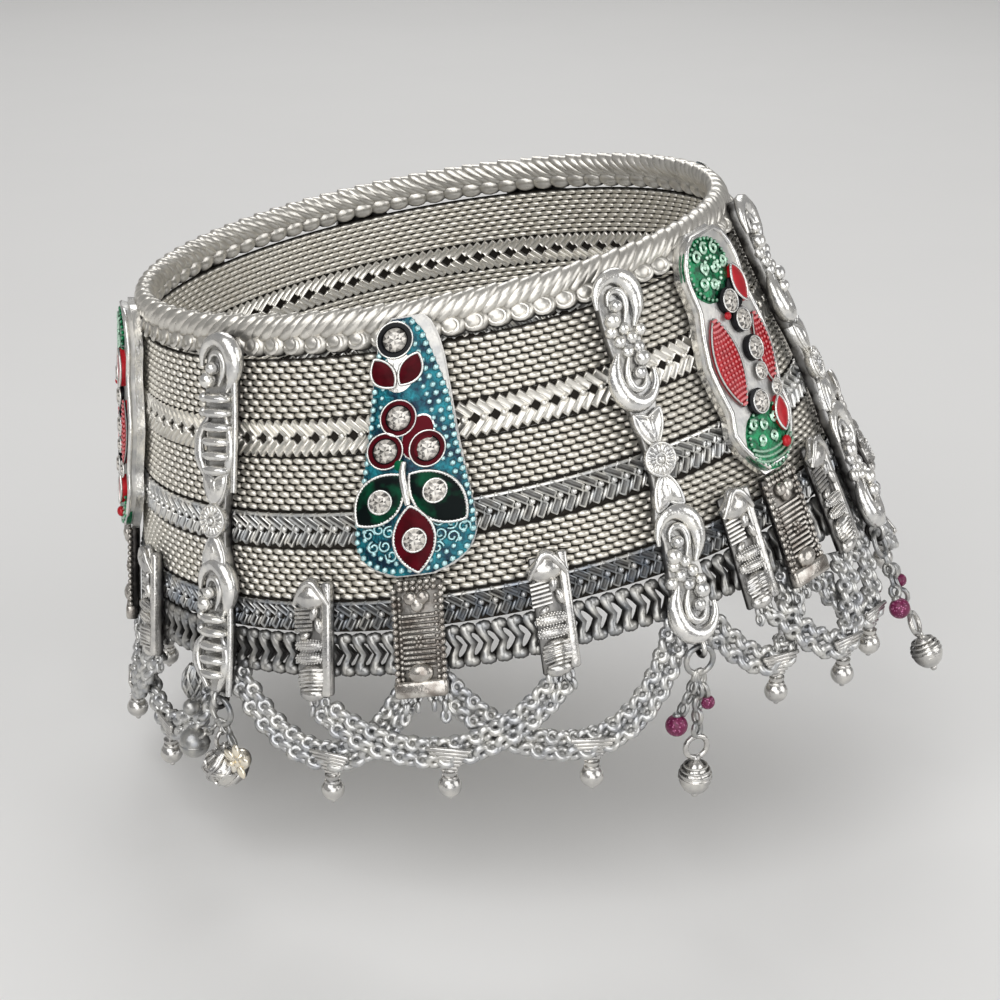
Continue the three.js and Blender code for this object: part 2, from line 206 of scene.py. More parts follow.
def pickFaces(test):
    bpy.ops.mesh.select_mode(type="FACE")
    shape = bmesh.from_edit_mesh(bpy.context.object.data)
    for face in shape.faces:
        face.select_set(bool(test(face.calc_center_median(), face.normal)))
    bmesh.update_edit_mesh(bpy.context.object.data)


def shift(offset):
    bpy.ops.transform.translate(value=offset)


def stretch(factors, middle=(0, 0, 0)):
    bpy.ops.transform.resize(value=factors, center_override=middle)


def joined(parts):
    choose(*parts)
    if len(parts) > 1:
        bpy.ops.object.join()
    return bpy.context.object


def copied(piece, offset=(0, 0, 0)):
    choose(piece)
    bpy.ops.object.duplicate(linked=False)
    made = bpy.context.object
    made.location = offset
    return settle(made)


def rounded(piece, degrees=50):
    choose(piece)
    bpy.ops.object.shade_smooth_by_angle(angle=math.radians(degrees))
    return piece


def throwAway(*pieces):
    choose(*pieces)
    bpy.ops.object.delete()


# the band's surface

def readPoints(piece):
    points = np.empty(len(piece.data.vertices) * 3)
    piece.data.vertices.foreach_get("co", points)
    return points.reshape(-1, 3)


def writePoints(piece, points):
    piece.data.vertices.foreach_set("co", np.ascontiguousarray(points).ravel())
    piece.data.update()


def distances(path):
    # how far along a path each of its points is
    return np.concatenate([[0], np.cumsum(np.linalg.norm(np.diff(path, axis=0), axis=1))])


def sampled(path, along, stops):
    # the path's places at these distances along it
    return np.stack([np.interp(stops, along, path[:, axis]) for axis in range(3)], 1)


def unit(vectors):
    return vectors / np.linalg.norm(vectors, axis=-1, keepdims=True)


def onBand(degrees, depth, out):
    # points of the leaning, flaring loop, each with its distance out from the middle of the strips
    angle = np.radians(degrees)
    sine, cosine = np.sin(angle), np.cos(angle)
    endFlare = np.where(sine < 0, band["heelFlare"], band["instepFlare"])
    halfLength = band["rimHalfLength"] + endFlare * depth
    halfWidth = band["rimHalfWidth"] + band["sideFlare"] * depth
    still = np.zeros_like(sine)
    front = halfWidth * cosine + band["frontFlare"] * depth
    place = np.stack([halfLength * sine, -front, still - depth], 1)
    across = np.stack([halfLength * cosine, halfWidth * sine, still], 1)
    down = np.stack([endFlare * sine, -(band["sideFlare"] * cosine + band["frontFlare"]), still - 1], 1)
    points = place + unit(np.cross(down, across)) * np.asarray(out)[:, None]
    lean = math.radians(band["leanDegrees"])
    x, z = points[:, 0].copy(), points[:, 2].copy()
    points[:, 0] = x * math.cos(lean) - z * math.sin(lean)
    points[:, 2] = x * math.sin(lean) + z * math.cos(lean)
    return points


def arcPerDegree(degrees, depth):
    half = 0.5
    still = np.zeros_like(np.asarray(degrees, float))
    ends = onBand(degrees + half, depth + still, still) - onBand(degrees - half, depth + still, still)
    return np.linalg.norm(ends, axis=1)


def loopAt(depth):
    # angles round the loop from its seam, and how far round it each one is
    angles = band["seamDegrees"] + np.arange(0, 361, 1.0)
    still = np.zeros_like(angles)
    return angles, distances(onBand(angles, still + depth, still))


def loopLength(depth):
    return float(loopAt(depth)[1][-1])


def layRow(piece, depth):
    # a row as long as the loop at this depth, laid round it
    angles, along = loopAt(depth)
    points = readPoints(piece)
    degrees = np.interp(points[:, 0], along, angles)
    below = points[:, 0] < 0
    degrees[below] = angles[0] + points[below, 0] / along[-1] * 360
    writePoints(piece, onBand(degrees, depth - points[:, 1], points[:, 2]) * mm)


def lineAt(station, depth):
    # the degrees at which a station's leaning line passes this depth
    return station["at"] + station["turn"] * (depth / band["depth"] - 0.5)


def layAt(piece, station, depth):
    # a piece modelled round x = 0 and below y = 0, laid at its station with y = 0 at this depth
    points = readPoints(piece)
    depths = depth - points[:, 1]
    line = lineAt(station, depths)
    degrees = line + points[:, 0] / arcPerDegree(line, depths)
    writePoints(piece, onBand(degrees, depths, points[:, 2] + band["face"]) * mm)


def layAlong(piece, origin, across, up, out):
    # a piece laid with its own x, y and z along these directions
    local = readPoints(piece)
    writePoints(piece, (origin + local[:, 0:1] * across + local[:, 1:2] * up + local[:, 2:3] * out) * mm)


def markRelief(piece, low, high, twoSided=False, crown=0.0):
    # how far each point stands out, from 0 in the recesses to 1 on the high places, which carries
    # painted shade into the recesses; with a crown the top edge of a row is painted lighter too
    points = readPoints(piece)
    height = points[:, 2]
    if twoSided:
        height = np.hypot(height, crown * np.maximum(points[:, 1], 0))
    relief = np.clip((height - low) / (high - low), 0, 1)
    held = piece.data.attributes.get("relief") or piece.data.attributes.new("relief", "FLOAT", "POINT")
    held.data.foreach_set("value", relief.astype(np.float32))


def dress(piece, material):
    piece.data.materials.clear()
    piece.data.materials.append(material)
    return piece


def handIn(piece, name, slot, *nodes):
    piece.name = name
    piece.data.name = name
    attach(piece, "root")
    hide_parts(*nodes)


# materials

class Wire:
    # one output inside a material; + - and * on it add Math nodes
    def __init__(self, paint, socket):
        self.paint = paint
        self.socket = socket

    def maths(self, operation, first, second):
        return self.paint.node("ShaderNodeMath", {"operation": operation}, {0: first, 1: second})

    def __add__(self, other):
        return self.maths("ADD", self, other)

    def __radd__(self, other):
        return self.maths("ADD", other, self)

    def __sub__(self, other):
        return self.maths("SUBTRACT", self, other)

    def __rsub__(self, other):
        return self.maths("SUBTRACT", other, self)

    def __mul__(self, other):
        return self.maths("MULTIPLY", self, other)

    def __rmul__(self, other):
        return self.maths("MULTIPLY", other, self)


class Paint:
    # a new node material
    def __init__(self, name):
        self.material = bpy.data.materials.new(name)
        self.material.use_nodes = True
        self.tree = self.material.node_tree
        self.tree.nodes.clear()

    def node(self, kind, settings=None, sockets=None, output=0):
        made = self.tree.nodes.new(kind)
        for name, value in (settings or {}).items():
            if name == "stops":
                self.setStops(made.color_ramp.elements, value)
            else:
                setattr(made, name, value)
        for name, value in (sockets or {}).items():
            if isinstance(value, Wire):
                self.tree.links.new(value.socket, made.inputs[name])
            else:
                made.inputs[name].default_value = value
        return Wire(self, made.outputs[output]) if made.outputs else None

    def setStops(self, elements, stops):
        while len(elements) < len(stops):
            elements.new(1)
        for element, (position, value) in zip(elements, stops):
            element.position = position
            element.color = (value, value, value, 1)

    def place(self):
        return self.node("ShaderNodeTexCoord", output="Object")

    def attribute(self, name):
        return self.node("ShaderNodeAttribute", {"attribute_name": name}, output="Fac")

    def noise(self, size, detail):
        # size is the width of one patch in millimetres
        return self.node("ShaderNodeTexNoise", None, {
            "Vector": self.place(), "Scale": 1 / (size * mm), "Detail": detail})

    def ramp(self, value, *stops):
        return self.node("ShaderNodeValToRGB", {"stops": stops}, {0: value})

    def mix(self, share, first, second):
        def asColour(value):
            return value if isinstance(value, Wire) else (*value, 1)
        return self.node("ShaderNodeMix", {"data_type": "RGBA"}, {
            0: share, 6: asColour(first), 7: asColour(second)}, output=2)

    def bump(self, height, strength, depth):
        # depth is in millimetres
        return self.node("ShaderNodeBump", None, {
            "Height": height, "Strength": strength, "Distance": depth * mm})

    def finish(self, sockets):
        surface = self.node("ShaderNodeBsdfPrincipled", None, sockets)
        self.node("ShaderNodeOutputMaterial", None, {"Surface": surface})
        return self.material


def silver(name, look):
    paint = Paint(name)
    relief = paint.attribute("relief")
    patches = paint.noise(look["patchSize"], 3)
    grain = paint.noise(look["grainSize"], 2)
    # painted shade: from the relief, the base colour goes to the look's dark colour in the recesses, which
    # are rougher too
    unshaded = paint.ramp(relief + (patches - 0.5) * look["unevenness"], (0, 0), (look["tarnishEnd"], 1))
    bright = paint.mix(paint.ramp(patches, (0.3, 0), (0.7, 1)), look["bright"], look["warm"])
    return paint.finish({
        "Base Color": paint.mix(unshaded, look["dark"], bright),
        "Metallic": look["metal"],
        "Roughness": look["rough"] + (1 - unshaded) * look["recessRough"] + (grain - 0.5) * look["roughSpread"],
        "Normal": paint.bump(grain, look["bumpStrength"], look["bumpDepth"]),
    })


# in each look, dark is the colour of the painted shade in the recesses, and the end of the shade ramp sets
# how high that painted shade reaches
silverLooks = {
    "woven": {"bright": (0.83, 0.8, 0.73), "warm": (0.75, 0.715, 0.64), "dark": (0.02, 0.016, 0.012),
              "metal": 0.85, "tarnishEnd": 0.6, "unevenness": 0.25, "patchSize": 3.0, "grainSize": 0.25,
              "rough": 0.36, "recessRough": 0.25, "roughSpread": 0.12,
              "bumpStrength": 0.25, "bumpDepth": 0.03},
    "chain": {"bright": (0.84, 0.815, 0.755), "warm": (0.76, 0.735, 0.68), "dark": (0.014, 0.012, 0.011),
              "metal": 0.85, "tarnishEnd": 0.5, "unevenness": 0.3, "patchSize": 4.0, "grainSize": 0.4,
              "rough": 0.3, "recessRough": 0.25, "roughSpread": 0.14,
              "bumpStrength": 0.35, "bumpDepth": 0.06},
    "cast": {"bright": (0.9, 0.88, 0.83), "warm": (0.58, 0.58, 0.58), "dark": (0.022, 0.02, 0.02),
             "metal": 0.88, "tarnishEnd": 0.55, "unevenness": 0.45, "patchSize": 2.0, "grainSize": 0.6,
             "rough": 0.2, "recessRough": 0.2, "roughSpread": 0.12,
             "bumpStrength": 0.5, "bumpDepth": 0.12},
}
# grey, edge, dark, shaded and link are darker and lighter copies of one silver, set per part as painted light
# and shade, mostly darker towards the bottom of the band and on the hanging parts
silverLooks["grey"] = {**silverLooks["chain"], "bright": (0.7, 0.69, 0.655), "warm": (0.42, 0.43, 0.45),
                       "tarnishEnd": 0.6, "unevenness": 0.45, "patchSize": 2.0}
silverLooks["satin"] = {**silverLooks["grey"], "bright": (0.7, 0.685, 0.65), "warm": (0.5, 0.5, 0.5),
                        "rough": 0.5, "roughSpread": 0.3, "bumpStrength": 0.7, "bumpDepth": 0.12}
silverLooks["edge"] = {**silverLooks["grey"], "bright": (0.6, 0.585, 0.545), "warm": (0.24, 0.25, 0.265)}
silverLooks["dark"] = {**silverLooks["grey"], "bright": (0.62, 0.605, 0.57), "warm": (0.27, 0.3, 0.345),
                       "patchSize": 2.6}
silverLooks["shaded"] = {**silverLooks["grey"], "bright": (0.92, 0.895, 0.84), "warm": (0.56, 0.575, 0.585),
                         "patchSize": 2.6}
silverLooks["rim"] = {**silverLooks["chain"], "bright": (0.76, 0.735, 0.68), "warm": (0.55, 0.53, 0.49),
                      "tarnishEnd": 0.55, "unevenness": 0.4, "patchSize": 2.2}
silverLooks["link"] = {**silverLooks["cast"], "bright": (0.74, 0.72, 0.68), "warm": (0.43, 0.425, 0.42)}
silverLooks["brown"] = {**silverLooks["cast"], "bright": (0.66, 0.635, 0.59), "warm": (0.25, 0.22, 0.195)}
silverLooks["wash"] = {**silverLooks["cast"], "bright": (0.93, 0.84, 0.66), "warm": (0.95, 0.9, 0.8),
                       "dark": (0.05, 0.045, 0.045)}
wovenSilver = silver("wovenSilver", silverLooks["woven"])
chainSilver = silver("chainSilver", silverLooks["chain"])
castSilver = silver("castSilver", silverLooks["cast"])
shadedGreySilver = silver("shadedGreySilver", silverLooks["grey"])
linkSilver = silver("linkSilver", silverLooks["link"])
satinSilver = silver("satinSilver", silverLooks["satin"])
edgeSilver = silver("edgeSilver", silverLooks["edge"])
darkSilver = silver("darkSilver", silverLooks["dark"])
shadedSilver = silver("shadedSilver", silverLooks["shaded"])
rimSilver = silver("rimSilver", silverLooks["rim"])
brownSilver = silver("brownSilver", silverLooks["brown"])
goldWash = silver("goldWash", silverLooks["wash"])


def paintedShadeSheet():
    paint = Paint("paintedShadeSheet")
    # near-black and rough: the painted shade seen through the gaps between the links
    patches = paint.noise(0.8, 3)
    return paint.finish({
        "Base Color": paint.mix(patches, (0.006, 0.005, 0.004), (0.03, 0.025, 0.02)),
        "Roughness": 0.7 + patches * 0.2,
        "Specular IOR Level": 0.15,
    })


backing = paintedShadeSheet()
print("materials ready")


# rows of links round the leg

def rowOf(link, pitch, count):
    # one link made into a row of them
    return modify(link, "ARRAY", count=count, use_relative_offset=False, use_constant_offset=True,
                  constant_offset_displace=(pitch, 0, 0))


def fitted(length, pitch):
    # how many links fill the length, and their pitch then
    count = round(length / pitch)
    return count, length / count


def shadeSheet(depth, height, thickness):
    # painted shade: a near-black closed sheet round the leg inside a strip, which shows dark through the gaps
    # between its links
    length = loopLength(depth)
    deselect()
    bpy.ops.mesh.primitive_grid_add(x_subdivisions=144, y_subdivisions=2, size=1, location=(length / 2, 0, 0))
    sheet = bpy.context.object
    sheet.scale = (length, height, 1)
    settle(sheet)
    layRow(sheet, depth)
    edit(sheet)
    bpy.ops.mesh.select_all(action="SELECT")
    bpy.ops.mesh.remove_doubles(threshold=0.01 * mm)
    finishEdit()
    modify(sheet, "SOLIDIFY", thickness=thickness * mm, offset=0)
    return dress(rounded(sheet), backing)


def layStrip(strip, name, middle, height, finish, look, kind="links", slot="chain_silver"):
    # a flat row of links laid round the leg over a near-black sheet of painted shade, in the place of its CAD
    # node
    markRelief(strip, *look["relief"], twoSided=True, crown=look.get("crown", 0))
    layRow(strip, middle)
    rounded(dress(strip, finish), look["smooth"])
    sheet = shadeSheet(middle, height + look["spill"], look["backing"])
    handIn(joined([strip, sheet]), f"{name}_{kind}", slot, name)


weave = {
    "pitch": 2.0,  # along the band
    "rowPitch": 0.92,
    "grain": (2.5, 0.96, 1.25),
    "tilt": -7,
    "blunt": 1.3,  # the broad end against the fine one
    "bluntShift": (0.06, 0, 0),
    "dip": (0, -0.06, -0.22),  # how the fine end goes under the next grain, in shares of a grain
    "relief": (0.15, 0.55),
    "smooth": 70,
    "backing": 0.25,
    "spill": 0.28,  # how much taller the painted shade sheet is than the rows, so that no light gets past
}


def wovenGrain():
    # a flattened loop of wire that dips under the next one at its fine end
    grain = ball((0, 0, 0), (1, 1, 1), turn=(0, 90, 0), segments=8, rings=4)
    edit(grain)
    pickPoints(lambda at: at.x > 0.2)
    stretch((1, weave["blunt"], weave["blunt"]))
    pickPoints(lambda at: 0.2 < at.x < 0.45)
    shift(weave["bluntShift"])
    pickPoints(lambda at: at.x < -0.2)
    shift(weave["dip"])
    finishEdit()
    grain.scale = weave["grain"]
    grain.rotation_euler = turned((0, 0, weave["tilt"]))
    return settle(grain)


def wovenStrip(name, top, height, finish):
    middle = top + height / 2
    count, pitch = fitted(loopLength(middle), weave["pitch"])
    rowCount, rowPitch = fitted(height, weave["rowPitch"])
    row = rowOf(wovenGrain(), pitch, count)
    laid = [copied(row, offset=(pitch / 2 * (number % 2), height / 2 - (number + 0.5) * rowPitch, 0))
            for number in range(rowCount)]
    throwAway(row)
    layStrip(joined(laid), name, middle, height, finish, weave, "weave", "woven_silver")


wheat = {
    "pitch": 3.0,
    "armWidth": 1.16,
    "hole": 0.62,
    "centre": 0.06,  # how near the long arms come to the middle line
    "margin": 0.1,
    "slant": 42,
    "roll": 20,
    "sink": 0.14,
    "border": 0.2,  # round each sunk face, as a share of its width
    "bead": (1.3, 1.2, 1.2),
    "beadAt": (-0.7, 0, 0.5),
    "relief": (0.25, 0.85),
    "smooth": 40,
    "backing": 0.6,
    "spill": 0.28,
}
scales = {
    "pitch": 2.1,
    "upperWidth": 1.12,
    "upperSlant": 33,
    "upperHole": 0.32,
    "lowerWidth": 1.15,
    "lowerSlant": 57,
    "lowerHole": 0.25,
    "lowerMargin": 0.15,
    "margin": 0.05,
    "roll": 8,
    "sink": 0.34,
    "border": 0.22,
    "bead": (1.0, 0.95, 1.0),
    "beadAt": (0, 0.12, 0.6),
    "rail": 0.27,
    "railOut": 0.45,
    "strand": 0.62,
    "strandOut": 1.7,
    "relief": (0.36, 0.78),
    "smooth": 40,
    "backing": 0.6,
    "spill": 0.28,
}
armPlate = {"thickness": 1.5, "soften": 0.13}


def slantedArm(width, slant, hole, reach, side, look):
    # one flat arm from the middle line out to the edge, its face sunk and rolled so that one edge catches
    # the light; the sunk face stands low, so its relief paints it dark, as a painted dark reflection
    tall = reach - hole
    angle = math.radians(slant)
    arm = block((0, 0, 0), (tall / math.sin(angle), width, armPlate["thickness"]), soften=armPlate["soften"])
    edit(arm)
    pickFaces(lambda at, facing: abs(facing.z) > 0.9)
    bpy.ops.mesh.inset(thickness=width * look["border"], depth=-look["sink"])
    finishEdit()
    arm.rotation_euler = turned((look["roll"] * side, 0, 0))
    settle(arm)
    arm.rotation_euler = turned((0, 0, -slant * side))
    arm.location = (-(reach + hole) / 2 / math.tan(angle), side * (hole + tall / 2), 0)
    return settle(arm)


def wheatLink(pitch, height):
    # two arms above and two below, a bead and a hole between them
    parts = [ball(wheat["beadAt"], wheat["bead"], segments=8)]
    reach = height / 2 - wheat["margin"]
    for side in (1, -1):
        for hole, forward in ((wheat["centre"], 0), (wheat["hole"], pitch / 2)):
            arm = slantedArm(wheat["armWidth"], wheat["slant"], hole, reach, side, wheat)
            arm.location.x = forward
            parts.append(settle(arm))
    return joined(parts)


def scaleLink(pitch, height):
    # a broad sunk scale above, a bead, and a steep scale with a bright strand below, under a fine rail
    railAt = height / 2 - scales["margin"] - scales["rail"]
    reach = height / 2 - scales["lowerMargin"]
    hole, slant = scales["lowerHole"], scales["lowerSlant"]
    strandAt = (reach + hole) / 2
    return joined([
        ball(scales["beadAt"], scales["bead"], segments=8),
        rod((0, railAt, scales["railOut"]), scales["rail"], pitch * 1.02, turn=(0, 90, 0), sides=6),
        slantedArm(scales["upperWidth"], scales["upperSlant"], scales["upperHole"], railAt, 1, scales),
        slantedArm(scales["lowerWidth"], slant, hole, reach, -1, scales),
        ball((pitch / 2 - strandAt / math.tan(math.radians(slant)), -strandAt, 0),
             (reach * 1.25, scales["strand"], scales["strandOut"]), turn=(0, 0, slant), segments=8, rings=8),
    ])


def chainStrip(name, top, height, finish, makeLink, look):
    middle = top + height / 2
    count, pitch = fitted(loopLength(middle), look["pitch"])
    layStrip(rowOf(makeLink(pitch, height), pitch, count), name, middle, height, finish, look)


def wheatStrip(name, top, height, finish):
    chainStrip(name, top, height, finish, wheatLink, wheat)


def scaleStrip(name, top, height, finish):
    chainStrip(name, top, height, finish, scaleLink, scales)


def ovalRing(halfLong, halfWide, wireRadius, steps=12):
    # an oval link of round wire, its outer size given
    link = ring((0, 0, 0), 1, wireRadius, steps=steps)
    points = readPoints(link)
    flat = np.hypot(points[:, 0], points[:, 1])
    around = points[:, :2] / flat[:, None]
    points[:, :2] = around * [halfLong - wireRadius, halfWide - wireRadius] + around * (flat - 1)[:, None]
    writePoints(link, points)
    return link


edgeLinks = {
    "pitch": 2.35,
    "wire": 0.76,
    "halfWidth": 1.35,  # of the ring, to the middle of its wire
    "halfHeight": 2.3,
    "point": 1.6,  # how far the links point forward at their middle
    "bulb": (2.295, 1.7, 1.5),
    "bulbOut": 0.1,
    "tilt": 22,
    "relief": (0.3, 1.2),
}


def edgeChain(name, top, height, finish):
    # open links that point forward, with a bulb at each end
    look = edgeLinks
    middle = top + height / 2
    count, pitch = fitted(loopLength(middle), look["pitch"])
    thick = look["wire"]
    link = ovalRing(look["halfWidth"] + thick, look["halfHeight"] + thick, thick, steps=16)
    points = readPoints(link)
    points[:, 0] += look["point"] * (1 - np.abs(points[:, 1]) / look["halfHeight"])
    writePoints(link, points)
    link.rotation_euler = turned((0, look["tilt"], 0))
    settle(link)
    bulbs = [ball((look["bulbOut"], side * look["halfHeight"], look["bulbOut"]), look["bulb"], segments=8)
             for side in (-1, 1)]
    strip = rowOf(joined([link, *bulbs]), pitch, count)
    markRelief(strip, *look["relief"])
    layRow(strip, middle)
    handIn(rounded(dress(strip, finish), 60), name + "_links", "chain_silver", name)


rimLinks = {
    "pitch": 3.4,
    "strand": (6.9, 2.5, 3.3),
    "strandTurn": 33,
    "strandsAt": ((0.1, 0.95), (0.6, 1.2)),  # share of the pitch, height
    "roundEnd": (4.7, 3.4, 2.9),
    "roundEndAt": (0.5, -1.3, 0),
    "curl": 1.0,
    "curlWire": 0.36,
    "curlAt": (0.1, -1.4, 1.08),
    "curlTurn": (-16, -16, 0),
    "curlStretch": (1.25, 1, 1),
    "relief": (0.6, 1.6),
    "crown": 0.5,
    "smooth": 60,
    "backing": 1.2,
    "spill": -1.5,
}


def rimChain(name, top, height, finish):
    # slanted strands over a row of round ends, each with a small curl on it
    look = rimLinks
    middle = top + height / 2
    count, pitch = fitted(loopLength(middle), look["pitch"])
    parts = [ball((share * pitch, y, 0), look["strand"], turn=(0, 0, look["strandTurn"]), rings=10)
             for share, y in look["strandsAt"]]
    parts.append(ball(look["roundEndAt"], look["roundEnd"], segments=12, rings=8))
    parts.append(ring(look["curlAt"], look["curl"], look["curlWire"], look["curlTurn"], look["curlStretch"]))
    layStrip(rowOf(joined(parts), pitch, count), name, middle, height, finish, look)


# chevron_middle, chevron_lower and edge_chain take lit and shaded copies of the silver, as painted light and
# shade
rows = [
    ("rim_chain", 6.1, rimChain, rimSilver),
    ("mesh_upper", 8.3, wovenStrip, wovenSilver),
    ("chevron_upper", 4.9, wheatStrip, chainSilver),
    ("mesh_middle", 7.5, wovenStrip, wovenSilver),
    ("chevron_middle", 4.8, scaleStrip, shadedSilver),
    ("mesh_lower", 7.2, wovenStrip, wovenSilver),
    ("chevron_lower", 4.1, scaleStrip, darkSilver),
    ("edge_chain", 6.3, edgeChain, edgeSilver),
]
top = 0
for name, height, make, finish in rows:
    make(name, top, height, finish)
    print("row made:", name)
    top += height + band["rowGap"]


# small shapes: wires, beads, petals, stones

def wire(points, radius, closed=False, sides=6, widths=None, steps=3):
    # a wire bent smoothly through these points
    curve = bpy.data.curves.new("wire", "CURVE")
    curve.dimensions = "3D"
    curve.resolution_u = steps
    curve.bevel_depth = radius
    curve.bevel_resolution = (sides - 4) // 2
    curve.use_fill_caps = True
    spline = curve.splines.new("BEZIER")
    spline.bezier_points.add(len(points) - 1)
    for number, (knot, point) in enumerate(zip(spline.bezier_points, points)):
        knot.co = point
        knot.handle_left_type = knot.handle_right_type = "AUTO"
        knot.radius = widths[number] if widths else 1
    spline.use_cyclic_u = closed
    made = bpy.data.objects.new("wire", curve)
    bpy.context.collection.objects.link(made)
    choose(made)
    bpy.ops.object.convert(target="MESH")
    return bpy.context.object


def spiral(middle, outer, inner, start, sweep, height, steps=9):
    # points from the outer end of a curl to its inner end
    points = []
    for number in range(steps):
        share = number / (steps - 1)
        angle = math.radians(start + sweep * share)
        radius = outer + (inner - outer) * share
        points.append((middle[0] + radius * math.cos(angle), middle[1] + radius * math.sin(angle), height))
    return points


def strewn(piece, places):
    # copies of a small piece at many places, as one mesh
    shape = readPoints(piece)
    faces = [tuple(face.vertices) for face in piece.data.polygons]
    points = np.concatenate([shape + place for place in np.asarray(places)])
    allFaces = [tuple(corner + len(shape) * copy for corner in face)
                for copy in range(len(places)) for face in faces]
    mesh = bpy.data.meshes.new("strewn")
    mesh.from_pydata(points.tolist(), [], allFaces)
    made = bpy.data.objects.new("strewn", mesh)
    bpy.context.collection.objects.link(made)
    throwAway(piece)
    return choose(made)


def spread(path, spacing, closed=False):
    # evenly spaced places along a path
    path = np.asarray(path, float)
    if closed:
        path = np.vstack([path, path[:1]])
    along = distances(path)
    count = max(2, round(along[-1] / spacing))
    return sampled(path, along, np.linspace(0, along[-1], count, endpoint=not closed))


def beads(size, places, segments=6, rings=4):
    return strewn(ball((0, 0, 0), size, segments=segments, rings=rings), places)


def granules(size, places):
    # small flattened beads
    return beads((size, size, size * 0.8), places)


def beadsAlong(path, size, spacing, closed=False):
    return granules(size, spread(path, spacing, closed))


def leaning(origin, across, along, turn, height):
    # a point across and along a shape that leans turn degrees to the left of straight up
    lean = math.radians(turn)
    return (origin[0] + across * math.cos(lean) - along * math.sin(lean),
            origin[1] + across * math.sin(lean) + along * math.cos(lean), height)


def petalOutline(root, length, width, turn, height, bend=0.0, count=20):
    # a petal that is pointed at its root and at its end
    points = []
    for number in range(count):
        angle = 2 * math.pi * number / count
        side = math.sin(angle)
        across = -width / 2 * side * abs(side) ** 0.7 + bend * (1 - math.cos(angle) ** 2)
        points.append(leaning(root, across, (1 - math.cos(angle)) / 2 * length, turn, height))
    return points


def roundOutline(middle, width, length, turn, height):
    angles = [2 * math.pi * number / 24 for number in range(24)]
    return [leaning(middle, width / 2 * math.cos(angle), length / 2 * math.sin(angle), turn, height)
            for angle in angles]


def cushion(outline, thickness, crown, edge=0.25):
    # a low domed plate with this outline; the outline's height is where its side meets its dome
    outline = np.asarray(outline, float)
    middle = outline.mean(0)
    reach = np.linalg.norm(outline - middle, axis=1).mean()
    deselect()
    bpy.ops.mesh.primitive_circle_add(vertices=len(outline), radius=1, fill_type="NGON")
    made = bpy.context.object
    writePoints(made, outline - [0, 0, thickness])
    edit(made)
    bpy.ops.mesh.select_all(action="SELECT")
    for rise, drawnIn in ((thickness, 0), (crown * 0.6, edge), (crown * 0.4, edge * 1.6)):
        bpy.ops.mesh.extrude_region_move(TRANSFORM_OT_translate={"value": (0, 0, rise)})
        share = 1 - drawnIn / reach
        stretch((share, share, 1), middle)
    bpy.ops.mesh.select_all(action="SELECT")
    bpy.ops.mesh.normals_make_consistent(inside=False)
    return finishEdit()


gemCut = {
    "sides": 12,
    "table": 0.62,  # in shares of the radius
    "star": 0.22,
    "starRise": 0.12,  # in shares of the height
    "turn": 15,  # of the table against the girdle, and of the star against the table
    "paintedGlints": (1.0, 0.35, 0.85, 0.05, 0.7, 0.95, 0.2),  # how bright each facet's painted glint is, in turn
    "edgeWire": 0.1,
    "edgeOut": 0.08,
}


def gem(place, radius, height):
    # a table cut into a star, with two rows of triangular facets round it and a dark edge; each facet's
    # colour is painted lighter or darker, as painted glints
    cut = gemCut
    stone = rod((0, 0, height / 2), radius, height, sides=cut["sides"], top=radius * cut["table"])
    edit(stone)
    pickFaces(lambda at, facing: facing.z > 0.9)
    step = {"value": math.radians(cut["turn"]), "orient_axis": "Z", "center_override": (0, 0, height)}
    bpy.ops.transform.rotate(**step)
    bpy.ops.mesh.inset(thickness=radius * cut["star"], depth=height * cut["starRise"])
    bpy.ops.transform.rotate(**step)
    bpy.ops.mesh.poke()
    finishEdit()
    modify(stone, "TRIANGULATE")
    stone.location = place
    settle(stone)
    paintedGlints = cut["paintedGlints"]
    shade = [paintedGlints[face.index * 3 % len(paintedGlints)] for face in stone.data.polygons]
    stone.data.attributes.new("facet", "FLOAT", "FACE").data.foreach_set("value", shade)
    x, y, z = place
    edge = ring((x, y, z + cut["edgeOut"]), radius * 1.01, cut["edgeWire"], steps=24, sides=4)
    return joined([dress(stone, rhinestone), dress(edge, blackEnamel)])


def enamel(name, look):
    paint = Paint(name)
    relief = paint.attribute("relief")
    patches = paint.noise(look["patchSize"], 3)
    grain = paint.noise(look["grainSize"], 2)
    light = paint.ramp(patches, (look["lightFrom"], 0), (look["lightFrom"] + 0.3, 1))
    colour = paint.mix(light, look["deep"], look["light"])
    # the raised places take the top colour: partly painted highlight, partly the silver of the granules
    # showing through
    raised = paint.ramp(relief, (0.45, 0), (0.95, 1))
    return paint.finish({
        "Base Color": paint.mix(raised, colour, look["top"]),
        "Metallic": look["metal"],
        "Roughness": look["rough"] + (grain - 0.5) * 0.1,
        "Specular IOR Level": look["shine"],
        "Coat Weight": look["coat"],
        "Coat Roughness": 0.06,
        "Normal": paint.bump(grain, look["bumpStrength"], look["bumpDepth"]),
    })


